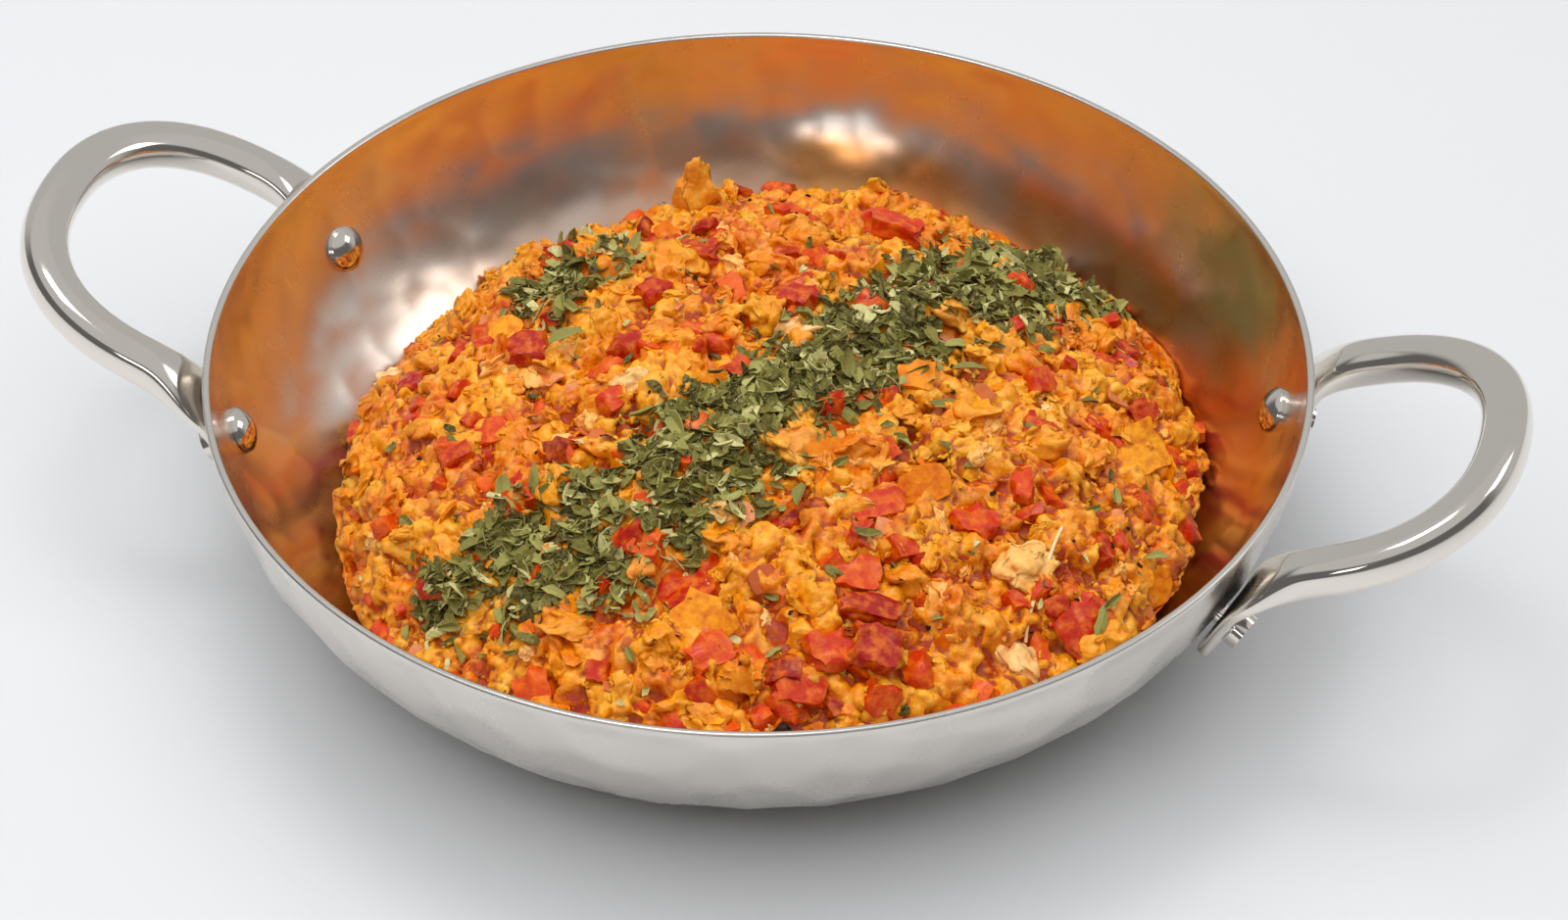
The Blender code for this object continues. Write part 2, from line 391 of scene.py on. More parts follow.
# The painted reflection mixes the plain steel toward warm orange.
reflection_share = ramp(
    pan_inside, own_value(pan_inside, "painted_food_reflection"), (0.0, grey(0.0)), (1.0, grey(1.0))
)
colour_from(
    pan_inside, blend(pan_inside, reflection_share, paint(242, 236, 228), paint(248, 176, 108))
)
patches = marks(pan_inside, 18 * MM, 4)
roughness_from(
    pan_inside, ramp(pan_inside, patches, (0.3, grey(0.20)), (0.75, grey(0.32)))
)
relief_from(pan_inside, marks(pan_inside, 5 * MM, 3), 0.02 * MM, 0.5)

pan_outside = new_finish(
    "pan_outside_satin", Base_Color=paint(222, 217, 210), Metallic=1.0, Roughness=0.34
)
patches = marks(pan_outside, 12 * MM, 5)
roughness_from(
    pan_outside, ramp(pan_outside, patches, (0.3, grey(0.24)), (0.75, grey(0.37)))
)
relief_from(pan_outside, marks(pan_outside, 0.7 * MM, 4), 0.012 * MM, 0.5)

pan.data.materials.clear()
pan.data.materials.append(pan_outside)
pan.data.materials.append(pan_inside)
for face in pan.data.polygons:
    face.material_index = int(
        wall_depth(face.center) < middle_of_wall and face.center.z > WALL / 2
    )
belongs(pan, "hammered_steel", "pan")

# %% [markdown]
# ## The handles
# Each handle is one forged bar, bent to a loop, with both ends beaten flat into
# lugs that lie along the wall. Its section changes on the way, from a wide flat
# strip to a rounded bar, so a plain bevelled curve would not do. Instead one ring
# of points is extruded along the route, and every new ring is set square to the
# way at that place. Subdivision then makes the forging soft.

# %% The bar's route and section
RIVET_ANGLE = math.radians(17.2)
RIVET_HEIGHT = DEPTH - 20.4 * MM
GAP = 0.3 * MM
LUG_WIDTH, LUG_THICKNESS = 16 * MM, 3.5 * MM
LUG_BELOW_RIVET, LUG_ABOVE_RIVET = 10 * MM, 8 * MM
BAR_WIDTH, BAR_HEIGHT = 10.8 * MM, 9 * MM
LOOP_START, LOOP_REACH, LOOP_HALF_WIDTH = 128 * MM, 33 * MM, 35.6 * MM
LOOP_SQUARENESS = 2.3
LOOP_SLOPE = 0.4
BAR_START_HEIGHT = DEPTH - 3.3 * MM
BEND_PULL = 6 * MM
SECTION_POINTS = 16


def power(value, exponent):
    """A power that keeps its sign, for squarish ovals."""
    return math.copysign(abs(value) ** exponent, value)


def wall_point(height, offset):
    """(radius, height) on the wall's outer arc at a height, moved out square to it."""
    rise = ARC_RADIUS - height
    run = math.sqrt(ARC_RADIUS**2 - rise**2)
    scale = offset / ARC_RADIUS
    return BASE_RADIUS + run * (1 + scale), height - rise * offset / ARC_RADIUS


WALL_LEAN = math.asin((ARC_RADIUS - RIVET_HEIGHT) / ARC_RADIUS)


def lug_line(distance):
    """A point on the lug's middle line, a distance up from the rivet's axis."""
    radius, base = wall_point(RIVET_HEIGHT, GAP + LUG_THICKNESS / 2)
    radius += distance * math.sin(WALL_LEAN)
    base += distance * math.cos(WALL_LEAN)
    return Vector(
        (radius * math.cos(RIVET_ANGLE), radius * math.sin(RIVET_ANGLE), base)
    )


def loop_point(turn):
    """A point on the loop's middle line; turn runs from the bar's start to the tip."""
    reach = LOOP_REACH * power(math.sin(turn), 2 / LOOP_SQUARENESS)
    across = LOOP_HALF_WIDTH * power(math.cos(turn), 2 / LOOP_SQUARENESS)
    return Vector((LOOP_START + reach, across, BAR_START_HEIGHT + LOOP_SLOPE * reach))


def bend_point(share):
    """A point on the bend from the lug's top to the bar's start, a cubic curve."""
    lug_top = lug_line(LUG_ABOVE_RIVET)
    lug_way = (lug_top - lug_line(0)).normalized()
    bar_start = loop_point(0)
    bar_way = Vector((1, 0, LOOP_SLOPE)).normalized()
    pull_start = lug_top + BEND_PULL * lug_way
    pull_end = bar_start - BEND_PULL * bar_way
    rest = 1 - share
    return (
        rest**3 * lug_top
        + 3 * rest**2 * share * pull_start
        + 3 * rest * share**2 * pull_end
        + share**3 * bar_start
    )


def half_route():
    """Stations from one lug's tip to the loop's tip: (point, width, height) each."""
    stations = []
    half = LUG_WIDTH / 2
    for share in (0.02, 0.1, 0.25, 0.45, 0.7, 1.0):
        width = LUG_WIDTH * math.sqrt(1 - (1 - share) ** 2)
        thickness = LUG_THICKNESS * (0.8 + 0.2 * min(1, share * 4))
        stations.append((lug_line(half * share - LUG_BELOW_RIVET), width, thickness))
    stations.append((lug_line(LUG_ABOVE_RIVET / 2), LUG_WIDTH, LUG_THICKNESS))
    for step in range(7):
        share = step / 7
        ease = share * share * (3 - 2 * share)
        width = LUG_WIDTH + (BAR_WIDTH - LUG_WIDTH) * ease
        thickness = LUG_THICKNESS + (BAR_HEIGHT - LUG_THICKNESS) * ease
        stations.append((bend_point(share), width, thickness))
    for step in range(15):
        turn = math.pi / 2 * (step / 14) ** 1.15
        stations.append((loop_point(turn), BAR_WIDTH, BAR_HEIGHT))
    return stations


half = half_route()
mirrored = [(Vector((p.x, -p.y, p.z)), w, t) for p, w, t in half[-2::-1]]
route = half + mirrored
print("handle route:", len(route), "stations")


# %% One ring of the section
def section_points(index):
    """The section's points at one station, square to the way the bar runs there."""
    point, width, thickness = route[index]
    before = route[max(index - 1, 0)][0]
    after = route[min(index + 1, len(route) - 1)][0]
    way = (after - before).normalized()
    lift = min(max((point.x - LOOP_START + 3 * MM) / (6 * MM), 0), 1)
    up = Vector((-LOOP_SLOPE * lift, 0, 1)).normalized()
    side = up.cross(way).normalized()
    top = way.cross(side).normalized()
    bar_share = (thickness - LUG_THICKNESS) / (BAR_HEIGHT - LUG_THICKNESS)
    ring = []
    for step in range(SECTION_POINTS):
        angle = 2 * math.pi * (step + 0.5) / SECTION_POINTS
        squareness = 3.4 - 0.6 * bar_share
        across = width / 2 * power(math.cos(angle), 2 / squareness)
        rise = thickness / 2 * power(math.sin(angle), 2 / squareness)
        ring.append(point + across * side + rise * top)
    return ring


# %% Extrude the bar along its route
def make_handle(name, turned):
    """Extrude one ring from lug to lug and soften it; turned puts it on the other side."""
    select_only(None)
    bpy.ops.mesh.primitive_circle_add(
        vertices=SECTION_POINTS, radius=LUG_THICKNESS, fill_type="NGON"
    )
    handle = new_piece(name)
    bpy.ops.object.mode_set(mode="EDIT")
    for index in range(len(route)):
        if index:
            bpy.ops.mesh.extrude_region_move(
                TRANSFORM_OT_translate={"value": (0, 0, MM)}
            )
        form = bmesh.from_edit_mesh(handle.data)
        end_face = [face for face in form.faces if face.select][0]
        for vertex, place in zip(end_face.verts, section_points(index)):
            vertex.co = place
        bmesh.update_edit_mesh(handle.data)
    bpy.ops.mesh.select_all(action="SELECT")
    if turned:
        bpy.ops.transform.resize(value=(-1, -1, 1), center_override=(0, 0, 0))
    face_outwards(handle)
    apply_modifier(handle, "SUBSURF", levels=2, render_levels=2)
    smooth(handle, 60)
    return handle


handle_right = make_handle("handle_right_bar", False)
handle_left = make_handle("handle_left_bar", True)

# %% Polish the handles
polish = new_finish(
    "handle_polish", Base_Color=paint(236, 229, 220), Metallic=1.0, Roughness=0.1
)
wear = marks(polish, 9 * MM, 5)
roughness_from(polish, ramp(polish, wear, (0.35, grey(0.07)), (0.8, grey(0.17))))
relief_from(polish, marks(polish, 6 * MM, 2), 0.06 * MM, 0.35)
for handle, node in ((handle_right, "handle_right"), (handle_left, "handle_left")):
    handle.data.materials.append(polish)
    belongs(handle, "polished_steel", node)

# %% [markdown]
# ## The rivets
# Two rivets hold each handle. Inside the pan each shows a low round dome. Outside,
# under the lug, a short peg with a chamfered end sticks out. The dome is the cap of
# a sphere that is cut off by a bisect, and its edge is pulled down to the wall.

# %% Model one rivet along its own axis
HEAD_RADIUS, HEAD_HEIGHT = 5.25 * MM, 2.5 * MM
PEG_RADIUS, PEG_HEIGHT = 4.2 * MM, 2.4 * MM
SHANK_RADIUS = 2.2 * MM
dome_radius = (HEAD_RADIUS**2 + HEAD_HEIGHT**2) / (2 * HEAD_HEIGHT)
head_base = -(WALL + 0.8 * MM)
peg_base = 2 * GAP + LUG_THICKNESS

select_only(None)
bpy.ops.mesh.primitive_uv_sphere_add(
    segments=32,
    ring_count=40,
    radius=dome_radius,
    location=(0, 0, head_base - HEAD_HEIGHT + dome_radius),
)
rivet = new_piece("rivet")
bpy.ops.object.transform_apply(location=True, rotation=True, scale=True)
bpy.ops.object.mode_set(mode="EDIT")
bpy.ops.mesh.select_all(action="SELECT")
bpy.ops.mesh.bisect(
    plane_co=(0, 0, head_base), plane_no=(0, 0, 1), clear_outer=True, use_fill=False
)
pick(rivet, lambda p: abs(p.z - head_base) < 0.01 * MM)
seat = -WALL - 0.05 * MM
bpy.ops.mesh.extrude_edges_move(
    TRANSFORM_OT_translate={"value": (0, 0, seat - head_base)}
)
bpy.ops.mesh.edge_face_add()
bpy.ops.object.mode_set(mode="OBJECT")

bpy.ops.mesh.primitive_cylinder_add(
    vertices=32,
    radius=SHANK_RADIUS,
    depth=peg_base - seat,
    location=(0, 0, (peg_base + seat) / 2),
)
shank = new_piece("shank")
bpy.ops.mesh.primitive_cylinder_add(
    vertices=32,
    radius=PEG_RADIUS,
    depth=PEG_HEIGHT,
    location=(0, 0, peg_base + PEG_HEIGHT / 2),
)
peg = new_piece("peg")
bpy.ops.object.transform_apply(location=True, rotation=True, scale=True)
bpy.ops.object.mode_set(mode="EDIT")
pick(peg, lambda p: p.z > peg_base + PEG_HEIGHT - 0.01 * MM)
bpy.ops.mesh.bevel(offset=0.7 * MM, segments=3, affect="EDGES")
bpy.ops.object.mode_set(mode="OBJECT")
for part in (shank, peg, rivet):
    part.select_set(True)
bpy.context.view_layer.objects.active = rivet
bpy.ops.object.join()
bpy.ops.object.transform_apply(location=True, rotation=True, scale=True)
smooth(rivet, 40)
rivet.data.materials.append(polish)
print("rivet:", len(rivet.data.polygons), "faces")


# %% Copy it to its four places
def rivet_place(side, end):
    """The frame of one rivet: origin on the wall's outer face, Z along its axis."""
    radius, _ = wall_point(RIVET_HEIGHT, 0)
    angle = end * RIVET_ANGLE if side > 0 else math.pi - end * RIVET_ANGLE
    out = Matrix.Rotation(math.pi / 2 + WALL_LEAN, 4, "Y")
    place = Matrix.Translation((radius, 0, RIVET_HEIGHT))
    return Matrix.Rotation(angle, 4, "Z") @ place @ out


for side_name, side in (("left", -1), ("right", 1)):
    for end_name, end in (("front", -1), ("back", 1)):
        where = f"{side_name}_{end_name}"
        copy = bpy.data.objects.new("rivet_" + where + "_domed", rivet.data.copy())
        bpy.context.scene.collection.objects.link(copy)
        copy.data.transform(rivet_place(side, end))
        belongs(copy, "polished_steel", "rivet_" + where)
bpy.data.objects.remove(rivet)

# %% [markdown]
# ## The heap's core
# Everything finer than a grain of rice is relief on one closed body, the core. It
# starts as a copy of the CAD heap, which holds the true outline, taken in a little
# to leave room for what lies on it. A voxel remesh gives it even, small faces, and a
# bisect takes off the bottom, which the pan hides. Displace modifiers then build the
# texture of scrambled egg from coarse to fine: mounds, torn folds, lumps, curds and
# grains. A sculpt would do too, but the modifiers give the same heap on every run.

# %% Copy the CAD heap and give it small faces
CORE_FACE = 0.55 * MM
HIDDEN_BELOW = 11 * MM
heap_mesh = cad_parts["food"].data.copy()
core = bpy.data.objects.new("food_core", heap_mesh)
bpy.context.scene.collection.objects.link(core)
face_outwards(core)
apply_modifier(core, "SMOOTH", factor=0.5, iterations=2)
apply_modifier(core, "REMESH", mode="VOXEL", voxel_size=CORE_FACE, use_smooth_shade=True)
bpy.ops.object.mode_set(mode="EDIT")
bpy.ops.mesh.select_all(action="SELECT")
bpy.ops.mesh.bisect(
    plane_co=(0, 0, HIDDEN_BELOW), plane_no=(0, 0, 1), clear_inner=True, use_fill=True
)
bpy.ops.object.mode_set(mode="OBJECT")
print("core:", len(core.data.vertices), "points")


# %% Where the heap may be
def points_of(mesh):
    """A mesh's points as an array of rows."""
    flat = np.empty(len(mesh.vertices) * 3)
    mesh.vertices.foreach_get("co", flat)
    return flat.reshape(-1, 3)


def set_points(mesh, points):
    """Move a mesh's points to the rows of an array."""
    mesh.vertices.foreach_set("co", points.ravel())
    mesh.update()


def room_to_wall(points):
    """How far each point is inside the pan's inner wall."""
    run = np.hypot(points[:, 0], points[:, 1])
    rise = ARC_RADIUS - points[:, 2]
    return ARC_RADIUS - WALL - np.hypot(np.maximum(run - BASE_RADIUS, 0), rise)


def keep_in_pan(points, gap=0.35 * MM):
    """Push points that would cut into the wall back inside it."""
    arc = ARC_RADIUS - WALL - gap
    points[:, 2] = np.maximum(points[:, 2], WALL + gap)
    run = np.hypot(points[:, 0], points[:, 1])
    rise = ARC_RADIUS - points[:, 2]
    most = BASE_RADIUS + np.sqrt(np.maximum(arc**2 - rise**2, 0))
    squeeze = np.minimum(1, most / np.maximum(run, 1e-9))
    points[:, :2] *= squeeze[:, None]
    return points


# %% Mark the open surface, and make textures for it
before = points_of(core.data)
weights = np.clip((room_to_wall(before) - 1.2 * MM) / (3 * MM), 0, 1)
group = core.vertex_groups.new(name="open_surface")
for index in np.nonzero(weights > 0)[0]:
    group.add([int(index)], float(weights[index]), "REPLACE")


def cloud_texture(name, size, hard):
    """Clouds of this size in metres: soft for mounds, hard for sharp folds."""
    texture = bpy.data.textures.new(name, "CLOUDS")
    texture.noise_scale = size
    texture.noise_depth = 3 if hard else 2
    texture.noise_type = "HARD_NOISE" if hard else "SOFT_NOISE"
    return texture


def cell_texture(name, size):
    """Round cells of this size, as curds have."""
    texture = bpy.data.textures.new(name, "VORONOI")
    texture.distance_metric = "DISTANCE_SQUARED"
    texture.noise_scale = size
    texture.noise_intensity = 1.4
    return texture


def displace_core(texture, middle, strength, direction="NORMAL"):
    """Push the heap's open surface in or out by a texture."""
    apply_modifier(
        core,
        "DISPLACE",
        texture=texture,
        texture_coords="LOCAL",
        vertex_group="open_surface",
        direction=direction,
        mid_level=middle,
        strength=strength,
    )


# %% Build mounds, folds, lumps, curds and grains
# The back of the heap has slumped a little, away from the wall.
SLUMP_DEPTH, SLUMP_START, SLUMP_LENGTH = 3.0 * MM, 15 * MM, 60 * MM
points = points_of(core.data)
slump = np.clip((points[:, 1] - SLUMP_START) / SLUMP_LENGTH, 0, 1)
points[:, 2] -= SLUMP_DEPTH * slump * weights
set_points(core.data, points)
before = points_of(core.data)

displace_core(cloud_texture("mounds", 14 * MM, False), 0.75, 8.0 * MM)
displace_core(cloud_texture("folds", 8 * MM, True), 0.3, -4.5 * MM)
displace_core(cell_texture("lumps", 9.0 * MM), 0.4, -3.0 * MM)
displace_core(cell_texture("curds", 4.5 * MM), 0.4, -1.7 * MM)
displace_core(cell_texture("grains", 2.4 * MM), 0.4, -0.8 * MM)
# A sideways warp pulls the round cells into torn shapes with small overhangs.
warp = cloud_texture("warp", 4 * MM, False)
warp.cloud_type = "COLOR"
displace_core(warp, 0.5, 2.6 * MM, "RGB_TO_XYZ")
displace_core(cell_texture("crumbs", 1.5 * MM), 0.4, -0.6 * MM)
# Soft egg has no sharp edges.
apply_modifier(core, "SMOOTH", factor=0.5, iterations=2)
points = keep_in_pan(points_of(core.data), 0.3 * MM)
set_points(core.data, points)
print("relief:", round(float(np.abs(points - before).max() / MM), 1), "mm at most")

# %% Note how deep each point lies
# A point that lies lower than its neighbours, near by and further off, gets a high
# crease value, kept as a point attribute. The egg's finish darkens these creases to
# red-brown: painted shade, in the colour of the juice that runs into them.
normals = np.empty(len(core.data.vertices) * 3)
core.data.vertices.foreach_get("normal", normals)
normals = normals.reshape(-1, 3)
lift = np.einsum("ij,ij->i", points - before, normals)
edges = np.empty(len(core.data.edges) * 2, np.int64)
core.data.edges.foreach_get("vertices", edges)
edges = edges.reshape(-1, 2)


def spread(values, rounds):
    """Average a value with its neighbours along the mesh's edges."""
    count = np.bincount(edges.ravel(), minlength=len(values)) + 1
    for _ in range(rounds):
        total = values.copy()
        np.add.at(total, edges[:, 0], values[edges[:, 1]])
        np.add.at(total, edges[:, 1], values[edges[:, 0]])
        values = total / count
    return values


# The crease value sets how much painted shade each point of the egg gets.
fine = lift - spread(lift, 5)
broad = spread(lift, 2) - spread(lift, 40)
crease_shade = np.clip(0.5 - fine / (1.6 * MM) - broad / (3.2 * MM), 0, 1)
attribute = core.data.attributes.new("crease_shade", "FLOAT", "POINT")
attribute.data.foreach_set("value", crease_shade.astype(np.float32))
print("crease_shade", np.round(np.percentile(crease_shade, (5, 25, 50, 75, 95)), 2))

# %% Thin the core's mesh
# Collapse takes points out where the surface is smooth, and keeps the curds.
MOST_CORE_TRIANGLES = 195000
apply_modifier(core, "TRIANGULATE")
apply_modifier(core, "DECIMATE", ratio=MOST_CORE_TRIANGLES / len(core.data.polygons))
print("food_core:", len(core.data.polygons), "triangles")

# %% [markdown]
# ## Egg finish
# Soft egg takes on the tomato's juice, so its colour runs from pale yellow-orange
# to deep orange. The creases are darkened to red-brown: painted shade, in the colour
# of the juice that gathers there. Light sinks into it a little. It is moist, not
# oily: medium rough with a thin wet coat.


# %% The colours of egg
def egg_finish(name, tone_socket=None, crease_shade_socket=None):
    """Scrambled egg in tomato juice, varied by noise and own tone, with painted shade in
    the creases.
    """
    finish = new_finish(
        name,
        Subsurface_Weight=0.28,
        Subsurface_Radius=(1.0, 0.4, 0.1),
        Subsurface_Scale=1.1 * MM,
        Specular_IOR_Level=0.4,
        Coat_Weight=0.25,
        Coat_Roughness=0.22,
    )
    patchy = marks(finish, 13 * MM, 3)
    fine = marks(finish, 2.0 * MM, 4)
    body = ramp(
        finish,
        patchy,
        (0.34, paint(202, 70, 0)),
        (0.42, paint(224, 116, 0)),
        (0.52, paint(238, 154, 4)),
        (0.64, paint(246, 180, 40)),
    )
    grain = ramp(
        finish,
        fine,
        (0.36, paint(204, 70, 0)),
        (0.46, paint(234, 134, 4)),
        (0.56, paint(246, 168, 30)),
        (0.68, paint(252, 206, 112)),
    )
    colour = blend(finish, 0.4, body, grain)
    if tone_socket:
        own = ramp(
            finish,
            own_value(finish, tone_socket),
            (0.0, paint(208, 80, 0)),
            (0.35, paint(234, 130, 2)),
            (0.7, paint(246, 164, 26)),
            (1.0, paint(252, 204, 110)),
        )
        colour = blend(finish, 0.35, colour, own)
    # Painted shade: the higher a point's crease value, the more it darkens to a juice
    # red-brown.
    if crease_shade_socket:
        deep = ramp(
            finish,
            own_value(finish, crease_shade_socket),
            (0.52, grey(0.0)),
            (0.72, grey(0.45)),
            (0.95, grey(0.9)),
        )
        colour = blend(finish, deep, colour, paint(156, 34, 0))
    colour_from(finish, colour)
    roughness_from(finish, ramp(finish, fine, (0.3, grey(0.28)), (0.7, grey(0.5))))
    relief_from(finish, marks(finish, 1.5 * MM, 4), 0.7 * MM, 0.8)
    return finish


core.data.materials.clear()
core.data.materials.append(egg_finish("egg_core", crease_shade_socket="crease_shade"))
smooth(core, 180)
belongs(core, "egg_and_tomato", "food")

# %% [markdown]
# ## Scattering
# Loose things are real meshes. Each kind is modelled a few times over, and
# those few shapes are copied on to the heap, every copy turned, stretched and
# toned on its own. All copies of a kind become one piece. Places are drawn from the
# core's own faces, so steep sides get as many as flat tops.


# %% Draw places from the core's open surface
ABOVE_HEAP = 90 * MM


def surface_of(piece):
    """Triangle corners, areas and normals of a piece, as arrays."""
    mesh = piece.data
    mesh.calc_loop_triangles()
    corners = np.empty(len(mesh.loop_triangles) * 3, np.int64)
    mesh.loop_triangles.foreach_get("vertices", corners)
    triangles = points_of(mesh)[corners.reshape(-1, 3)]
    cross = np.cross(triangles[:, 1] - triangles[:, 0], triangles[:, 2] - triangles[:, 0])
    size = np.linalg.norm(cross, axis=1)
    return triangles, size / 2, cross / np.maximum(size, 1e-15)[:, None]


core_triangles, core_areas, core_normals = surface_of(core)
core_middles = core_triangles.mean(axis=1)
on_top = (core_normals[:, 2] > 0.0) & (room_to_wall(core_middles) > 1.5 * MM)
core_tree = BVHTree.FromPolygons(
    [Vector(p) for p in points_of(core.data)],
    [tuple(face.vertices) for face in core.data.polygons],
)


def draw_places(count, wanted=None):
    """Random places and normals on the heap, where wanted(x, y) in mm says how likely."""
    weight = core_areas * on_top
    if wanted is not None:
        weight = weight * wanted(core_middles[:, 0] / MM, core_middles[:, 1] / MM)
    faces = chance.choice(len(weight), count, p=weight / weight.sum())
    corner = chance.random((count, 2))
    over = corner.sum(axis=1) > 1
    corner[over] = 1 - corner[over]
    first = core_triangles[faces, 0]
    along = core_triangles[faces, 1] - first
    across = core_triangles[faces, 2] - first
    places = first + corner[:, :1] * along + corner[:, 1:] * across
    return places, soft_normal(places)


def under(x, y):
    """The core's surface straight under a place in metres, or None beside it."""
    return core_tree.ray_cast(Vector((x, y, ABOVE_HEAP)), Vector((0, 0, -1)))[0]


def soft_normal(places):
    """The heap's broad slope at each place: its normal without the curds."""
    slope = []
    for x, y, z in places:
        hits = []
        for dx, dy in ((-5, 0), (5, 0), (0, -5), (0, 5)):
            hit = under(x + dx * MM, y + dy * MM)
            hits.append(hit.z if hit and hit.z > 3 * MM else z - 3 * MM)
        slope.append((hits[0] - hits[1], hits[2] - hits[3], 12 * MM))
    slope = np.array(slope)
    return slope / np.linalg.norm(slope, axis=1)[:, None]


print("open faces:", int(on_top.sum()), "of", len(on_top))


# %% Copy shapes to their places
def shape_of_piece(piece):
    """A little model as (points, faces), and the model itself is removed."""
    faces = [tuple(face.vertices) for face in piece.data.polygons]
    shape = (points_of(piece.data), faces)
    bpy.data.objects.remove(piece)
    return shape


def frames_for(ways, tilt, count):
    """Rotation frames: Z near the way, leaning by a random tilt, spun at random."""
    ways = ways + tilt * chance.normal(size=(count, 3))
    ways /= np.linalg.norm(ways, axis=1)[:, None]
    side = np.cross(ways, chance.normal(size=(count, 3)))
    side /= np.linalg.norm(side, axis=1)[:, None]
    return np.stack([side, np.cross(ways, side), ways], axis=1)


def copy_shapes(name, shapes, places, frames, sizes, tones, finish, sharp=None):
    """One piece from many copies of a few shapes, each with its own place and tone."""
    which = chance.integers(0, len(shapes), len(places))
    all_points, all_tones, loops, totals = [], [], [], []
    offset = 0
    for index, (points, faces) in enumerate(shapes):
        chosen = np.nonzero(which == index)[0]
        if not len(chosen):
            continue
        stretched = points[None] * sizes[chosen][:, None, :]
        placed = np.einsum("nij,njk->nik", stretched, frames[chosen])
        placed += places[chosen][:, None, :]
        all_points.append(placed.reshape(-1, 3))
        all_tones.append(np.repeat(tones[chosen], len(points)))
        corners = np.concatenate([np.array(face) for face in faces])
        starts = offset + len(points) * np.arange(len(chosen))
        loops.append((corners[None] + starts[:, None]).ravel())
        totals.append(np.tile([len(face) for face in faces], len(chosen)))
        offset += len(points) * len(chosen)
    points = keep_in_pan(np.concatenate(all_points))
    loops = np.concatenate(loops)
    totals = np.concatenate(totals)
    mesh = bpy.data.meshes.new(name)
    mesh.vertices.add(len(points))
    mesh.vertices.foreach_set("co", points.ravel())
    mesh.loops.add(len(loops))
    mesh.loops.foreach_set("vertex_index", loops)
    mesh.polygons.add(len(totals))
    mesh.polygons.foreach_set("loop_start", np.cumsum(totals) - totals)
    mesh.update(calc_edges=True)
    mesh.validate()
    attribute = mesh.attributes.new("tone", "FLOAT", "POINT")
    attribute.data.foreach_set("value", np.concatenate(all_tones).astype(np.float32))
    piece = bpy.data.objects.new(name, mesh)
    bpy.context.scene.collection.objects.link(piece)
    mesh.materials.append(finish)
    mesh.shade_smooth()
    if sharp is not None:
        mesh.set_sharp_from_angle(angle=math.radians(sharp))
    belongs(piece, "egg_and_tomato")
    return piece


# %% [markdown]
# ## Egg chunks, curds and crumbs
# Scrambled egg is torn lumps with a grainy skin, from chunks a centimetre long down
# to crumbs. The chunks are few, so each of their models can carry real grain: an
# icosphere, squashed and torn by two Displace modifiers. A curd is a coarse
# icosphere with its few points pushed far about. All kinds lie in clumps, because
# egg breaks up that way, and they are sunk, so that the heap reads as one mass.


# %% Model the chunks
def tear(piece, shift, *pushes):
    """Push a model's points about by noise; a push is (marks per unit, depth)."""
    for vertex in piece.data.vertices:
        place = vertex.co.copy()
        steps = (noise.noise_vector(place * fine + shift) * deep for fine, deep in pushes)
        vertex.co = place + sum(steps, Vector())


def torn_chunk(name, seed):
    """A grainy lump of egg, about 2 across."""
    select_only(None)
    bpy.ops.mesh.primitive_ico_sphere_add(subdivisions=4, radius=1)
    chunk = new_piece(name)
    tear(chunk, Vector((seed * 5.1, seed * 2.3, seed * 8.7)), (1.1, 0.55), (2.4, 0.22))
    for texture, strength in (
        (cell_texture(name + "_curds", 0.7), -0.26),
        (cell_texture(name + "_grains", 0.34), -0.14),
    ):
        apply_modifier(
            chunk,
            "DISPLACE",
            texture=texture,
            texture_coords="LOCAL",
            mid_level=0.4,
            strength=strength,
        )
    return chunk


chunk_shapes = [shape_of_piece(torn_chunk(f"chunk_{seed}", seed)) for seed in range(6)]
print("chunks:", [len(faces) for _, faces in chunk_shapes], "faces each")


# %% Model the curds
def lumpy(name, cuts, roundness, coarseness, depth, seed):
    """A lump with few faces: a subdivided, rounded cube, 2 across, pushed about."""
    select_only(None)
    bpy.ops.mesh.primitive_cube_add(size=2)
    lump = new_piece(name)
    bpy.ops.object.mode_set(mode="EDIT")
    bpy.ops.mesh.select_all(action="SELECT")
    bpy.ops.mesh.subdivide(number_cuts=cuts)
    bpy.ops.transform.tosphere(value=roundness)
    bpy.ops.object.mode_set(mode="OBJECT")
    tear(lump, Vector((seed * 7.3, seed * 1.7, seed * 3.1)), (coarseness, depth))
    return lump


def torn_bit(name, seed):
    """A small ragged lump, about 2 across."""
    select_only(None)
    bpy.ops.mesh.primitive_ico_sphere_add(subdivisions=2, radius=0.9)
    bit = new_piece(name)
    tear(bit, Vector((seed * 3.3, seed * 6.1, seed * 1.9)), (1.3, 0.8), (3.1, 0.35))
    return bit


curd_shapes = [shape_of_piece(torn_bit(f"curd_{seed}", seed)) for seed in range(8)]
print("curds:", [len(faces) for _, faces in curd_shapes], "faces each")


# %% Where curds clump
def clumps(size, floor_share=0.15):
    """A likelihood that rises in patches of about this size in mm."""

    def wanted(x, y):
        values = [noise.noise(Vector((a / size, b / size, 5.5))) for a, b in zip(x, y)]
        return np.clip(0.5 + 1.4 * np.array(values), floor_share, 1)

    return wanted


def lumps_on_heap(name, shapes, count, size_range, sink, clump, tone_middle, finish):
    """Lumps drawn in clumps and sunk a share of their size into the heap."""
    places, ways = draw_places(count, clump)
    size = chance.uniform(*size_range, count) * MM / 2
    sizes = size[:, None] * chance.uniform((0.8, 0.7, 0.4), (1.4, 1.2, 0.9), (count, 3))
    places = places + ways * (size * sink)[:, None]
    frames = frames_for(ways, 0.5, count)
    tones = np.clip(chance.normal(tone_middle, 0.2, count), 0, 1)
    return copy_shapes(name, shapes, places, frames, sizes, tones, finish)


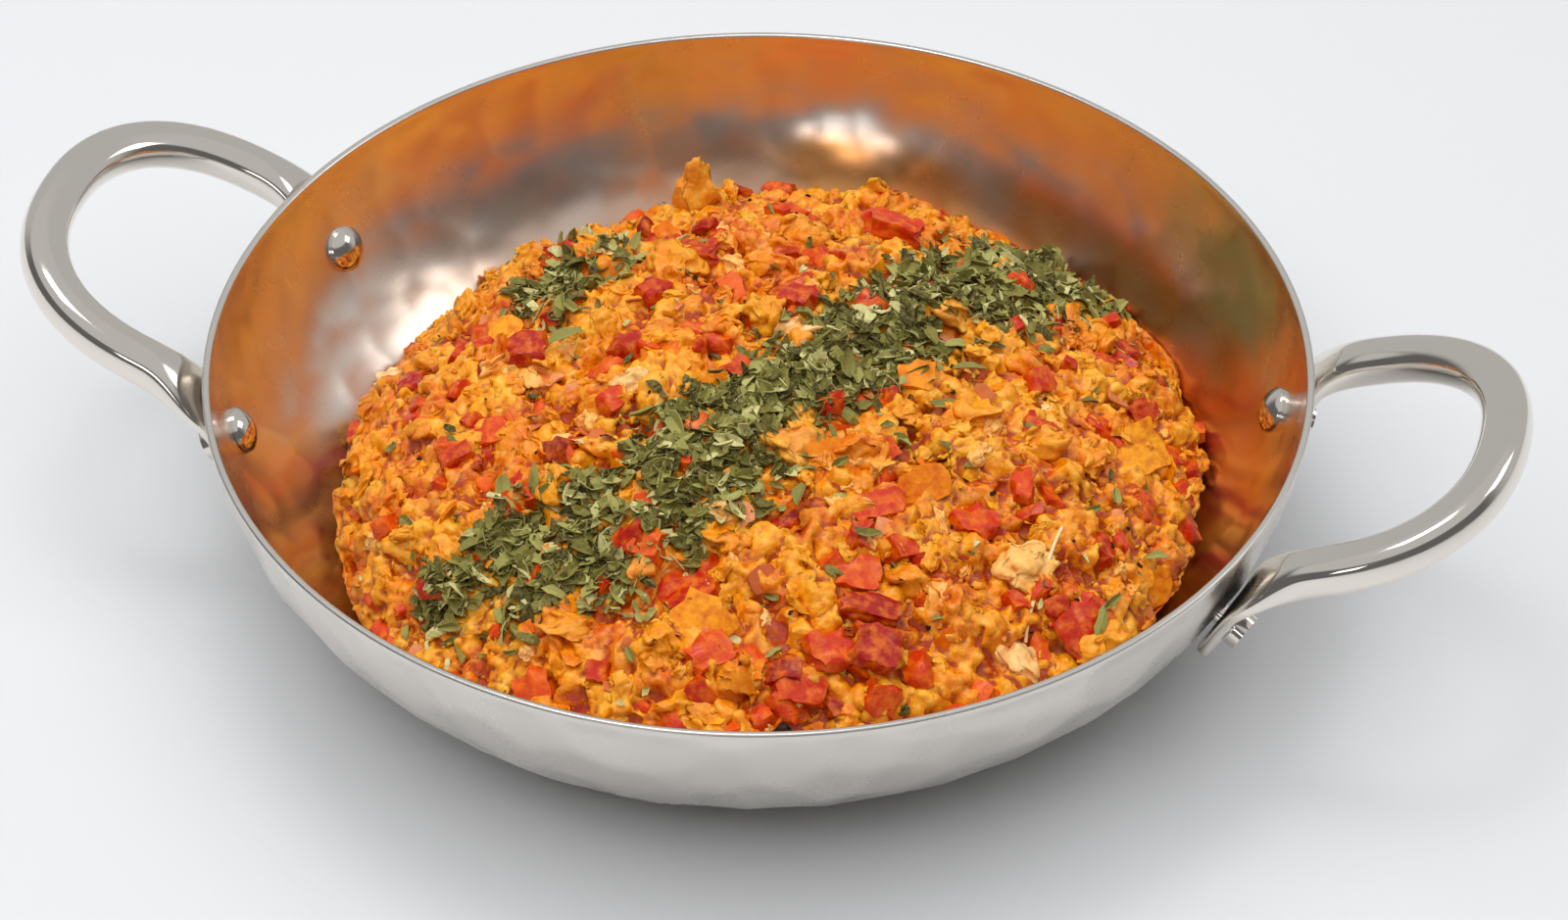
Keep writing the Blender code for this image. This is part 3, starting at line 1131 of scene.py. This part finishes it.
# %% Lay the loose egg
egg_loose = egg_finish("egg_loose", tone_socket="tone")
for name, shapes, count, size_range, sink, clump, tone in (
    ("egg_chunks", chunk_shapes, 150, (5.0, 12.0), -0.3, clumps(12, 0.3), 0.5),
    ("egg_bits", chunk_shapes, 150, (3.0, 6.5), -0.2, clumps(9, 0.2), 0.55),
    ("egg_curds", curd_shapes, 420, (1.8, 3.6), -0.3, clumps(9), 0.5),
    ("egg_crumbs", curd_shapes, 420, (0.9, 1.8), -0.1, clumps(6, 0.3), 0.6),
):
    lumps_on_heap(name, shapes, count, size_range, sink, clump, tone, egg_loose)

# %% [markdown]
# ## Tomato
# Cooked tomato keeps its corners: small dice and flat bits of flesh with skin on one
# side, coral red, wet and a little see-through. Each starts as a cube with more
# faces than a curd, less rounded, so that its corners and flat sides survive.

# %% Model the tomato dice and their finish
tomato_shapes = [
    shape_of_piece(lumpy(f"dice_{seed}", 2, 0.25, 1.2, 0.5, seed + 20))
    for seed in range(6)
]
large_tomato_shapes = [
    shape_of_piece(lumpy(f"large_dice_{seed}", 6, 0.3, 1.3, 0.42, seed + 40))
    for seed in range(5)
]


def wet_finish(name, own_stops, fine_colour, share, relief, **sockets):
    """A moist vegetable: own tone through a ramp, finer mottling, a wet sheen."""
    finish = new_finish(name, **sockets)
    own = ramp(finish, own_value(finish, "tone"), *own_stops)
    mottle = ramp(
        finish, marks(finish, 2.4 * MM, 3), (0.42, grey(0.0)), (0.72, grey(share))
    )
    colour_from(finish, blend(finish, mottle, own, fine_colour))
    relief_from(finish, marks(finish, 1.3 * MM, 3), relief, 0.7)
    return finish


tomato_finish = wet_finish(
    "tomato_flesh",
    (
        (0.0, paint(140, 10, 0)),
        (0.35, paint(184, 26, 0)),
        (0.7, paint(208, 54, 4)),
        (1.0, paint(228, 94, 12)),
    ),
    paint(240, 124, 10),
    0.75,
    0.6 * MM,
    Subsurface_Weight=0.25,
    Subsurface_Radius=(1.0, 0.3, 0.05),
    Subsurface_Scale=1.2 * MM,
    Specular_IOR_Level=0.3,
    Roughness=0.34,
    Coat_Weight=0.3,
    Coat_Roughness=0.08,
)


# %% Lay bits on the heap
def frames_turned(ways, turns):
    """Rotation frames: Z along the way, X turned by an angle in degrees from +X."""
    turns = np.radians(turns)
    along = np.stack([np.cos(turns), np.sin(turns), np.zeros(len(turns))], axis=1)
    along -= ways * np.einsum("ij,ij->i", along, ways)[:, None]
    along /= np.linalg.norm(along, axis=1)[:, None]
    return np.stack([along, np.cross(ways, along), ways], axis=1)


def flat_bits(
    name, shapes, count, clump, long_range, thin, sink, tilt, finish, sharp=None
):
    """Flattish bits drawn at random, lying on the heap and part sunk into it."""
    places, ways = draw_places(count, clump)
    long = chance.uniform(*long_range, count) * MM / 2
    wide = long * chance.uniform(0.55, 1.0, count)
    thick = long * chance.uniform(*thin, count)
    sizes = np.stack([long, wide, thick], axis=1)
    places = places + ways * (thick * sink)[:, None]
    frames = frames_for(ways, tilt, count)
    tones = np.clip(chance.normal(0.5, 0.28, count), 0, 1)
    return copy_shapes(name, shapes, places, frames, sizes, tones, finish, sharp)


def chosen_bits(
    name, shapes, rows, sink, finish, upright=False, sharp=None, lean=0.0
):
    """Bits at chosen spots; a row is x, y, length, width, height in mm, turn, tone."""
    rows = np.array(rows, float)
    places = np.array([tuple(under(x, y)) for x, y in rows[:, :2] * MM])
    ways = np.tile((0.0, 0.0, 1.0), (len(rows), 1)) if upright else soft_normal(places)
    ways = ways + lean * np.array([0.2, -0.9, 0.0])
    ways /= np.linalg.norm(ways, axis=1)[:, None]
    sizes = rows[:, 2:5] * MM / 2
    places = places + ways * (sizes[:, 2] * sink)[:, None]
    frames = frames_turned(ways, rows[:, 5])
    return copy_shapes(name, shapes, places, frames, sizes, rows[:, 6], finish, sharp)


# %% Lay the tomato
flat_bits(
    "tomato_pieces",
    tomato_shapes,
    count=230,
    clump=clumps(13, 0.12),
    long_range=(3.0, 7.5),
    thin=(0.6, 1.0),
    sink=-0.45,
    tilt=0.5,
    finish=tomato_finish,
    sharp=60,
)
chosen_bits(
    "tomato_large",
    large_tomato_shapes,
    (
        (3, -62, 12, 11, 8, 20, 0.35),
        (-28, 40, 13, 8, 5, 10, 0.3),
        (35, -33, 12, 6, 4, 35, 0.6),
        (55, -26, 9, 8, 6, 60, 0.55),
        (34, -49, 11, 9, 6, 15, 0.75),
        (44, -67, 9, 9, 7, 0, 0.2),
        (35, -70, 9, 8, 7, 40, 0.6),
        (31, -78, 10, 6, 5, 5, 0.55),
        (83, -39, 12, 11, 3, 70, 0.45),
        (-53, -26, 8, 7, 5, 30, 0.7),
        (-34, -26, 8, 6, 5, 80, 0.2),
        (13, 68, 12, 6, 5, 5, 0.6),
        (-16, 77, 11, 6, 5, -20, 0.7),
        (74, 16, 10, 5, 4, 0, 0.5),
        (40, -58, 12, 6, 4, 10, 0.15),
        (-24, -86, 8, 8, 5, 30, 0.8),
        (11, -77, 9, 7, 6, 50, 0.75),
        (-79, -4, 6, 5, 4, 0, 0.2),
        (20, 36, 7, 6, 5, 45, 0.3),
        (-8, 45, 9, 7, 6, 20, 0.25),
        (3, 22, 8, 7, 6, 70, 0.3),
        (62, 6, 8, 6, 5, 15, 0.35),
        (-52, -2, 8, 7, 5, 10, 0.25),
        (78, 34, 8, 6, 5, 60, 0.4),
    ),
    -0.2,
    tomato_finish,
    sharp=40,
)

# %% [markdown]
# ## Pepper, onion and egg white
# Between the curds lie amber flakes of soft pepper, pinkish slivers of onion and
# creamy patches of egg white. Pepper flakes are thin and a bit bent. They are a
# grid primitive, curved and given a thickness by Solidify. Onion uses the same
# model with other sizes, egg white the egg chunks. Black specks are ground pepper.


# %% Model bent flakes
def flake(name, bend, twist, ragged_share, seed):
    """A thin bent tile, 2 across: grid, curved, thickened."""
    select_only(None)
    bpy.ops.mesh.primitive_grid_add(x_subdivisions=4, y_subdivisions=3, size=2)
    tile = new_piece(name)
    for vertex in tile.data.vertices:
        x, y = vertex.co.x, vertex.co.y
        corner = 1 - 0.16 * (x * x * y * y)
        ragged = ragged_share * noise.noise_vector(Vector((x * 2, y * 2, seed * 3.7)))
        vertex.co.x = x * corner + ragged.x
        vertex.co.y = y * corner + ragged.y
        vertex.co.z = -bend * x * x + twist * x * y + 0.6 * ragged.z
    apply_modifier(tile, "SOLIDIFY", thickness=0.3, offset=0)
    return tile


flake_shapes = [
    shape_of_piece(flake(f"flake_{seed}", bend, twist, 0.35, seed))
    for seed, (bend, twist) in enumerate(((0.2, 0.1), (0.32, -0.15), (0.1, 0.25), (0.4, 0)))
]
pepper_finish = wet_finish(
    "pepper_flesh",
    (
        (0.0, paint(214, 92, 0)),
        (0.5, paint(236, 140, 2)),
        (1.0, paint(246, 172, 30)),
    ),
    paint(192, 66, 4),
    0.7,
    0.5 * MM,
    Subsurface_Weight=0.3,
    Subsurface_Radius=(1.0, 0.4, 0.1),
    Subsurface_Scale=1.0 * MM,
    Specular_IOR_Level=0.25,
    Roughness=0.35,
)
onion_finish = wet_finish(
    "onion_flesh",
    (
        (0.0, paint(186, 90, 44)),
        (0.5, paint(214, 124, 66)),
        (1.0, paint(232, 160, 108)),
    ),
    paint(200, 84, 30),
    0.6,
    0.12 * MM,
    Subsurface_Weight=0.3,
    Subsurface_Radius=(1.0, 0.5, 0.3),
    Subsurface_Scale=1.0 * MM,
    Specular_IOR_Level=0.25,
    Roughness=0.35,
)
white_finish = wet_finish(
    "egg_white",
    (
        (0.0, paint(244, 168, 66)),
        (0.5, paint(250, 194, 108)),
        (1.0, paint(253, 218, 160)),
    ),
    paint(240, 142, 34),
    0.8,
    0.4 * MM,
    Subsurface_Weight=0.2,
    Subsurface_Radius=(1.0, 0.7, 0.45),
    Subsurface_Scale=1.0 * MM,
    Roughness=0.45,
)
speck_finish = new_finish("ground_pepper", Roughness=0.6, Base_Color=paint(44, 30, 20))
relief_from(speck_finish, marks(speck_finish, 0.6 * MM, 2), 0.2 * MM)

# %% Lay out pepper, onion, egg white and specks
flat_bits(
    "pepper_pieces",
    flake_shapes,
    count=110,
    clump=clumps(12, 0.3),
    long_range=(3.5, 8.5),
    thin=(0.4, 0.8),
    sink=-0.3,
    tilt=0.4,
    finish=pepper_finish,
    sharp=35,
)
chosen_bits(
    "pepper_large",
    flake_shapes,
    (
        (23, -25, 14, 10, 8, 12, 0.45),
        (82, 16, 13, 12, 8, 60, 0.8),
        (43, -23, 11, 8, 6, 30, 0.4),
        (92, -17, 10, 8, 6, 80, 0.5),
        (8, -70, 12, 10, 6, -20, 0.7),
        (-8, -8, 9, 7, 5, 40, 0.5),
        (34, 6, 9, 7, 5, 10, 0.6),
        (-62, 10, 10, 7, 5, 70, 0.8),
    ),
    0.25,
    pepper_finish,
    sharp=35,
    lean=0.7,
)
flat_bits(
    "onion_pieces",
    flake_shapes,
    count=75,
    clump=clumps(10, 0.3),
    long_range=(2.8, 7),
    thin=(0.4, 0.7),
    sink=-0.3,
    tilt=0.4,
    finish=onion_finish,
    sharp=35,
)
lumps_on_heap(
    "egg_white_pieces",
    chunk_shapes,
    count=70,
    size_range=(3.0, 6.5),
    sink=-0.4,
    clump=clumps(11, 0.2),
    tone_middle=0.4,
    finish=white_finish,
)
chosen_bits(
    "egg_white_large",
    chunk_shapes,
    (
        (71, -51, 11, 9, 6, 10, 0.7),
        (1, 12, 17, 7, 6, 15, 0.75),
        (-26, -12, 10, 6, 6, 30, 0.7),
        (-88, 4, 7, 5, 5, 50, 0.9),
        (3, -47, 9, 4, 5, 0, 0.6),
        (-16, 38, 9, 5, 5, -20, 0.4),
        (68, -33, 12, 10, 4, 40, 0.5),
    ),
    -0.1,
    white_finish,
)
chosen_bits(
    "egg_tuft", chunk_shapes[1:2], ((-36, 75, 9, 8, 17, 20, 0.8),), 0.45, egg_loose, True
)
lumps_on_heap(
    "pepper_specks", curd_shapes, 60, (0.7, 1.7), 0.4, clumps(20, 0.5), 0.5, speck_finish
)
chosen_bits(
    "charred_bit", curd_shapes, ((29, -86, 4, 3, 3, 10, 0.5),), 0.3, speck_finish
)

# %% Draw the string of egg white
# A strand lies over the right front. It is a path curve laid on the core, given a
# round section by its bevel, then turned into a mesh.
select_only(None)
bpy.ops.curve.primitive_nurbs_path_add(radius=1)
strand = new_piece("egg_white_strand")
STRAND_ROUTE = ((73, -22), (71, -28), (73, -34), (70, -40), (71, -46))
for point, (x, y) in zip(strand.data.splines[0].points, STRAND_ROUTE):
    point.co = (x * MM, y * MM, under(x * MM, y * MM).z + 1.6 * MM, 1)
strand.data.bevel_depth = 0.42 * MM
strand.data.bevel_resolution = 2
strand.data.use_fill_caps = True
select_only(strand)
bpy.ops.object.convert(target="MESH")
strand = bpy.context.view_layer.objects.active
strand_finish = new_finish(
    "egg_strand",
    Base_Color=paint(250, 216, 160),
    Roughness=0.4,
    Subsurface_Weight=0.2,
    Subsurface_Scale=0.5 * MM,
)
strand.data.materials.append(strand_finish)
smooth(strand, 180)
belongs(strand, "egg_and_tomato")

# %% [markdown]
# ## Dried herbs
# A broad band of dried leaf runs slantwise over the heap, with a smaller patch
# beside it and single flakes elsewhere. A flake is a torn bit of a small leaf,
# folded along its rib and curled as it dried. The model is a grid pinched to a
# leaf's outline, folded, curled and given a thin body. Straw-coloured bits of stalk
# lie among the leaves.


# %% Model the leaf flakes and a stalk
def leaf(name, fold, curl, point, seed):
    """A dried leaf flake, 2 long, with a fold along its rib."""
    select_only(None)
    bpy.ops.mesh.primitive_grid_add(x_subdivisions=4, y_subdivisions=2, size=2)
    blade = new_piece(name)
    for vertex in blade.data.vertices:
        x, y = vertex.co.x, vertex.co.y
        torn = noise.noise_vector(Vector((x * 3.1, y * 2.7, seed * 2.3)))
        outline = (1 - abs(x) ** 2 * point) * (1 + 0.5 * torn.x)
        vertex.co.x = x + 0.25 * torn.y
        vertex.co.y = 0.46 * y * outline + 0.12 * x * x * torn.y
        vertex.co.z = fold * abs(y) * outline * 0.6 - curl * x * x + 0.12 * torn.z
    apply_modifier(blade, "SOLIDIFY", thickness=0.06, offset=0)
    return blade


leaf_shapes = [
    shape_of_piece(leaf(f"leaf_{seed}", fold, curl, point, seed))
    for seed, (fold, curl, point) in enumerate(
        (
            (0.3, 0.25, 0.85),
            (0.5, -0.2, 0.7),
            (0.2, 0.5, 0.9),
            (0.65, 0.1, 0.6),
            (-0.3, 0.35, 0.8),
            (0.4, -0.45, 0.5),
        )
    )
]
select_only(None)
bpy.ops.mesh.primitive_cylinder_add(vertices=5, radius=1, depth=2)
stalk = new_piece("stalk")
bpy.ops.object.mode_set(mode="EDIT")
bpy.ops.mesh.select_all(action="SELECT")
bpy.ops.transform.rotate(
    value=math.pi / 2, orient_axis="Y", center_override=(0, 0, 0)
)
bpy.ops.object.mode_set(mode="OBJECT")
stalk_shapes = [shape_of_piece(stalk)]
print("leaf flakes:", [len(faces) for _, faces in leaf_shapes], "faces each")

# %% Herb finishes
herb_finish = new_finish(
    "dried_leaf",
    Roughness=0.72,
    Subsurface_Weight=0.1,
    Subsurface_Scale=0.5 * MM,
    Specular_IOR_Level=0.35,
)
own = ramp(
    herb_finish,
    own_value(herb_finish, "tone"),
    (0.0, paint(60, 50, 18)),
    (0.25, paint(100, 92, 38)),
    (0.55, paint(134, 128, 60)),
    (0.8, paint(166, 161, 90)),
    (1.0, paint(216, 208, 146)),
)
veins = ramp(
    herb_finish, marks(herb_finish, 0.8 * MM, 4), (0.4, grey(0.0)), (0.75, grey(0.6))
)
colour_from(herb_finish, blend(herb_finish, veins, own, paint(160, 152, 84)))
relief_from(herb_finish, marks(herb_finish, 0.6 * MM, 3), 0.1 * MM, 0.8)

straw_finish = new_finish("dried_stalk", Roughness=0.6)
own = ramp(
    straw_finish,
    own_value(straw_finish, "tone"),
    (0.0, paint(150, 128, 74)),
    (1.0, paint(214, 196, 144)),
)
colour_from(straw_finish, own)
relief_from(straw_finish, marks(straw_finish, 0.5 * MM, 3), 0.05 * MM, 0.6)

# %% Where the herbs fell
# The band's middle line as (x, y) in mm, and half its width at each of those places.
BAND = (
    ((-50, -67), 7),
    ((-34, -61), 14),
    ((-18, -52), 16),
    ((-5, -38), 15),
    ((1, -21), 15),
    ((13, -1), 14),
    ((27, 26), 14),
    ((39, 56), 17),
    ((50, 78), 13),
)
PATCH_MIDDLE, PATCH_SIZE = (-53, 30), (11, 15)


def band_share(x, y):
    """How thick the herbs lie at a place in mm: 1 in the band's middle, 0 outside."""
    share = np.zeros(len(x))
    for (a, half_a), (b, half_b) in zip(BAND, BAND[1:]):
        step = np.array(b) - np.array(a)
        along = ((x - a[0]) * step[0] + (y - a[1]) * step[1]) / (step @ step)
        along = np.clip(along, 0, 1)
        apart = np.hypot(x - a[0] - along * step[0], y - a[1] - along * step[1])
        half = half_a + (half_b - half_a) * along
        share = np.maximum(share, np.exp(-((apart / half) ** 3) * 1.4))
    apart = np.hypot(
        (x - PATCH_MIDDLE[0]) / PATCH_SIZE[0], (y - PATCH_MIDDLE[1]) / PATCH_SIZE[1]
    )
    return np.maximum(share, 0.9 * np.exp(-(apart**3)))


def herb_wanted(x, y):
    """How likely a leaf is at a place in mm: the band, broken up by noise."""
    ragged = np.array(
        [noise.noise(Vector((a / 6, b / 6, 2.2))) for a, b in zip(x, y)]
    )
    return band_share(x, y) * np.clip(0.8 + 1.8 * ragged, 0.08, 1)


def herb_layer(name, shapes, count, wanted, long_range, wide, pile, tilt, finish):
    """Flakes piled where they are wanted, each leaning its own way."""
    places, ways = draw_places(count, wanted)
    long = chance.uniform(*long_range, count) * MM / 2
    across = long * chance.uniform(*wide, count)
    deep = np.minimum(long, across * 1.6)
    sizes = np.stack([long, across, deep], axis=1)
    thick = wanted(places[:, 0] / MM, places[:, 1] / MM)
    lift = chance.random(count) * pile * MM * thick + 0.5 * MM
    places = places + np.array([0, 0, 1.0]) * lift[:, None] + ways * 0.3 * MM
    frames = frames_for(ways, tilt, count)
    tones = np.clip(chance.normal(0.5, 0.36, count), 0, 1)
    return copy_shapes(name, shapes, places, frames, sizes, tones, finish, sharp=20)


# %% Lay the herbs: the band first, then single flakes away from it
def anywhere(x, y):
    """Every place in mm is as likely."""
    return np.ones(len(x))


LEAF, STRAW = (leaf_shapes, herb_finish), (stalk_shapes, straw_finish)
for name, (shapes, finish), count, wanted, long_range, wide, pile, tilt in (
    ("herb_leaves", LEAF, 3400, herb_wanted, (2.8, 6.8), (0.6, 1.3), 3.0, 0.5),
    ("herb_crumbs", LEAF, 1300, herb_wanted, (1.2, 2.6), (0.8, 1.4), 2.0, 0.7),
    ("herb_stalks", STRAW, 120, herb_wanted, (2.6, 7.0), (0.05, 0.09), 2.8, 0.3),
    ("herb_singles", LEAF, 190, anywhere, (1.4, 4.6), (0.7, 1.2), 0.5, 0.3),
):
    herb_layer(name, shapes, count, wanted, long_range, wide, pile, tilt, finish)
chosen_bits(
    "herb_strays",
    leaf_shapes,
    (
        (-44, 2, 8, 7, 6, 40, 0.7),
        (-47, 13, 7, 6, 6, 120, 0.6),
        (92, -14, 6, 4, 5, 20, 0.7),
        (85, -31, 6, 4, 5, 70, 0.5),
        (84, -37, 8, 6, 5, 100, 0.6),
        (86, -43, 6, 5, 5, 60, 0.5),
        (35, -42, 6, 5, 5, 10, 0.4),
        (22, -40, 6, 6, 8, 90, 0.6),
        (40, 2, 6, 5, 5, 30, 0.6),
        (44, 14, 7, 5, 5, 15, 0.6),
        (30, -52, 5, 4, 4, 0, 0.4),
    ),
    1.2,
    herb_finish,
    sharp=20,
)

# %% [markdown]
# ## Floor, light and camera
# A plain pale table and pale surroundings, with a wide soft light overhead and weaker
# ones in front and at the left, none of which the steel shows. The polished steel shows
# whatever is around it, so the surroundings are darker low down at the camera's
# side, as a room is. Two small lights are only there for the steel: a window at the
# right, and a spark in front. The camera looks down at about 40 degrees with a long
# lens.

# %% The table
select_only(None)
bpy.ops.mesh.primitive_plane_add(size=6)
table = new_piece("table")
table_finish = new_finish("pale_table", Base_Color=paint(217, 218, 220), Roughness=0.5)
table.data.materials.append(table_finish)


# %% The lights
def soft_light(name, place, aim, size, power_watts):
    """An area light at a place in metres, facing a point."""
    data = bpy.data.lights.new(name, "AREA")
    data.shape = "RECTANGLE"
    data.size, data.size_y = size
    data.energy = power_watts
    light = bpy.data.objects.new(name, data)
    light.location = place
    way = Vector(aim) - Vector(place)
    light.rotation_euler = way.to_track_quat("-Z", "Y").to_euler()
    bpy.context.scene.collection.objects.link(light)
    return light


soft_light("key", (-0.25, 0.3, 1.4), (0, 0, 0.03), (0.45, 0.35), 2.2)
side = soft_light("side", (-1.1, -0.35, 0.6), (0, 0, 0.03), (0.8, 0.6), 1.1)
overhead = soft_light("overhead", (-0.15, 0.1, 1.5), (-0.15, 0.1, 0), (2.2, 1.8), 21)
front = soft_light("front", (0.0, -0.95, 1.3), (0, 0, 0.03), (1.2, 0.5), 4.8)
for light in (side, overhead, front):
    light.visible_glossy = False
spark = soft_light("spark", (-0.09, -1.0, 0.5), (0, 0.11, 0.03), (0.26, 0.18), 0.42)
window = soft_light("window", (0.76, 0.45, 0.82), (-0.1, 0, 0.04), (0.5, 0.35), 1.0)
for light in (spark, window):
    light.visible_diffuse = False

# %% The surroundings
# White paper behind, a white ceiling above 40 degrees, and a dim room elsewhere.
CEILING_LIGHT, PAPER_LIGHT, ROOM_LIGHT = 0.55, 0.5, 0.13
room = bpy.data.worlds.new("room")
room.use_nodes = True
bpy.context.scene.world = room
nodes, links = room.node_tree.nodes, room.node_tree.links
where = nodes.new("ShaderNodeTexCoord")
parts = nodes.new("ShaderNodeSeparateXYZ")
links.new(where.outputs["Generated"], parts.inputs["Vector"])
brighter = nodes.new("ShaderNodeMath")
brighter.operation = "MAXIMUM"
for slot, (axis, start, end, light) in enumerate(
    (("Z", 0.60, 0.72, CEILING_LIGHT), ("Y", 0.0, 0.5, PAPER_LIGHT))
):
    step = nodes.new("ShaderNodeMapRange")
    step.interpolation_type = "SMOOTHSTEP"
    step.inputs["From Min"].default_value = start
    step.inputs["From Max"].default_value = end
    step.inputs["To Min"].default_value = ROOM_LIGHT
    step.inputs["To Max"].default_value = light
    links.new(parts.outputs[axis], step.inputs["Value"])
    links.new(step.outputs["Result"], brighter.inputs[slot])
back = nodes["Background"]
links.new(brighter.outputs["Value"], back.inputs["Strength"])
back.inputs["Color"].default_value = (0.98, 0.99, 1.0, 1)

# %% The camera
LOOK_AT = Vector((15.1, -33.8, 53)) * MM
CAMERA_DISTANCE = 926.8 * MM
CAMERA_TURN, CAMERA_RISE = math.radians(15.5), math.radians(40.47)
camera_data = bpy.data.cameras.new("camera")
camera_data.lens = 101.25
camera_data.sensor_width = 36
camera = bpy.data.objects.new("camera", camera_data)
back_way = Vector(
    (
        math.sin(CAMERA_TURN) * math.cos(CAMERA_RISE),
        -math.cos(CAMERA_TURN) * math.cos(CAMERA_RISE),
        math.sin(CAMERA_RISE),
    )
)
camera.location = LOOK_AT + CAMERA_DISTANCE * back_way
camera.rotation_euler = (-back_way).to_track_quat("-Z", "Y").to_euler()
bpy.context.scene.collection.objects.link(camera)
bpy.context.scene.camera = camera
bpy.context.scene.view_settings.view_transform = "Standard"
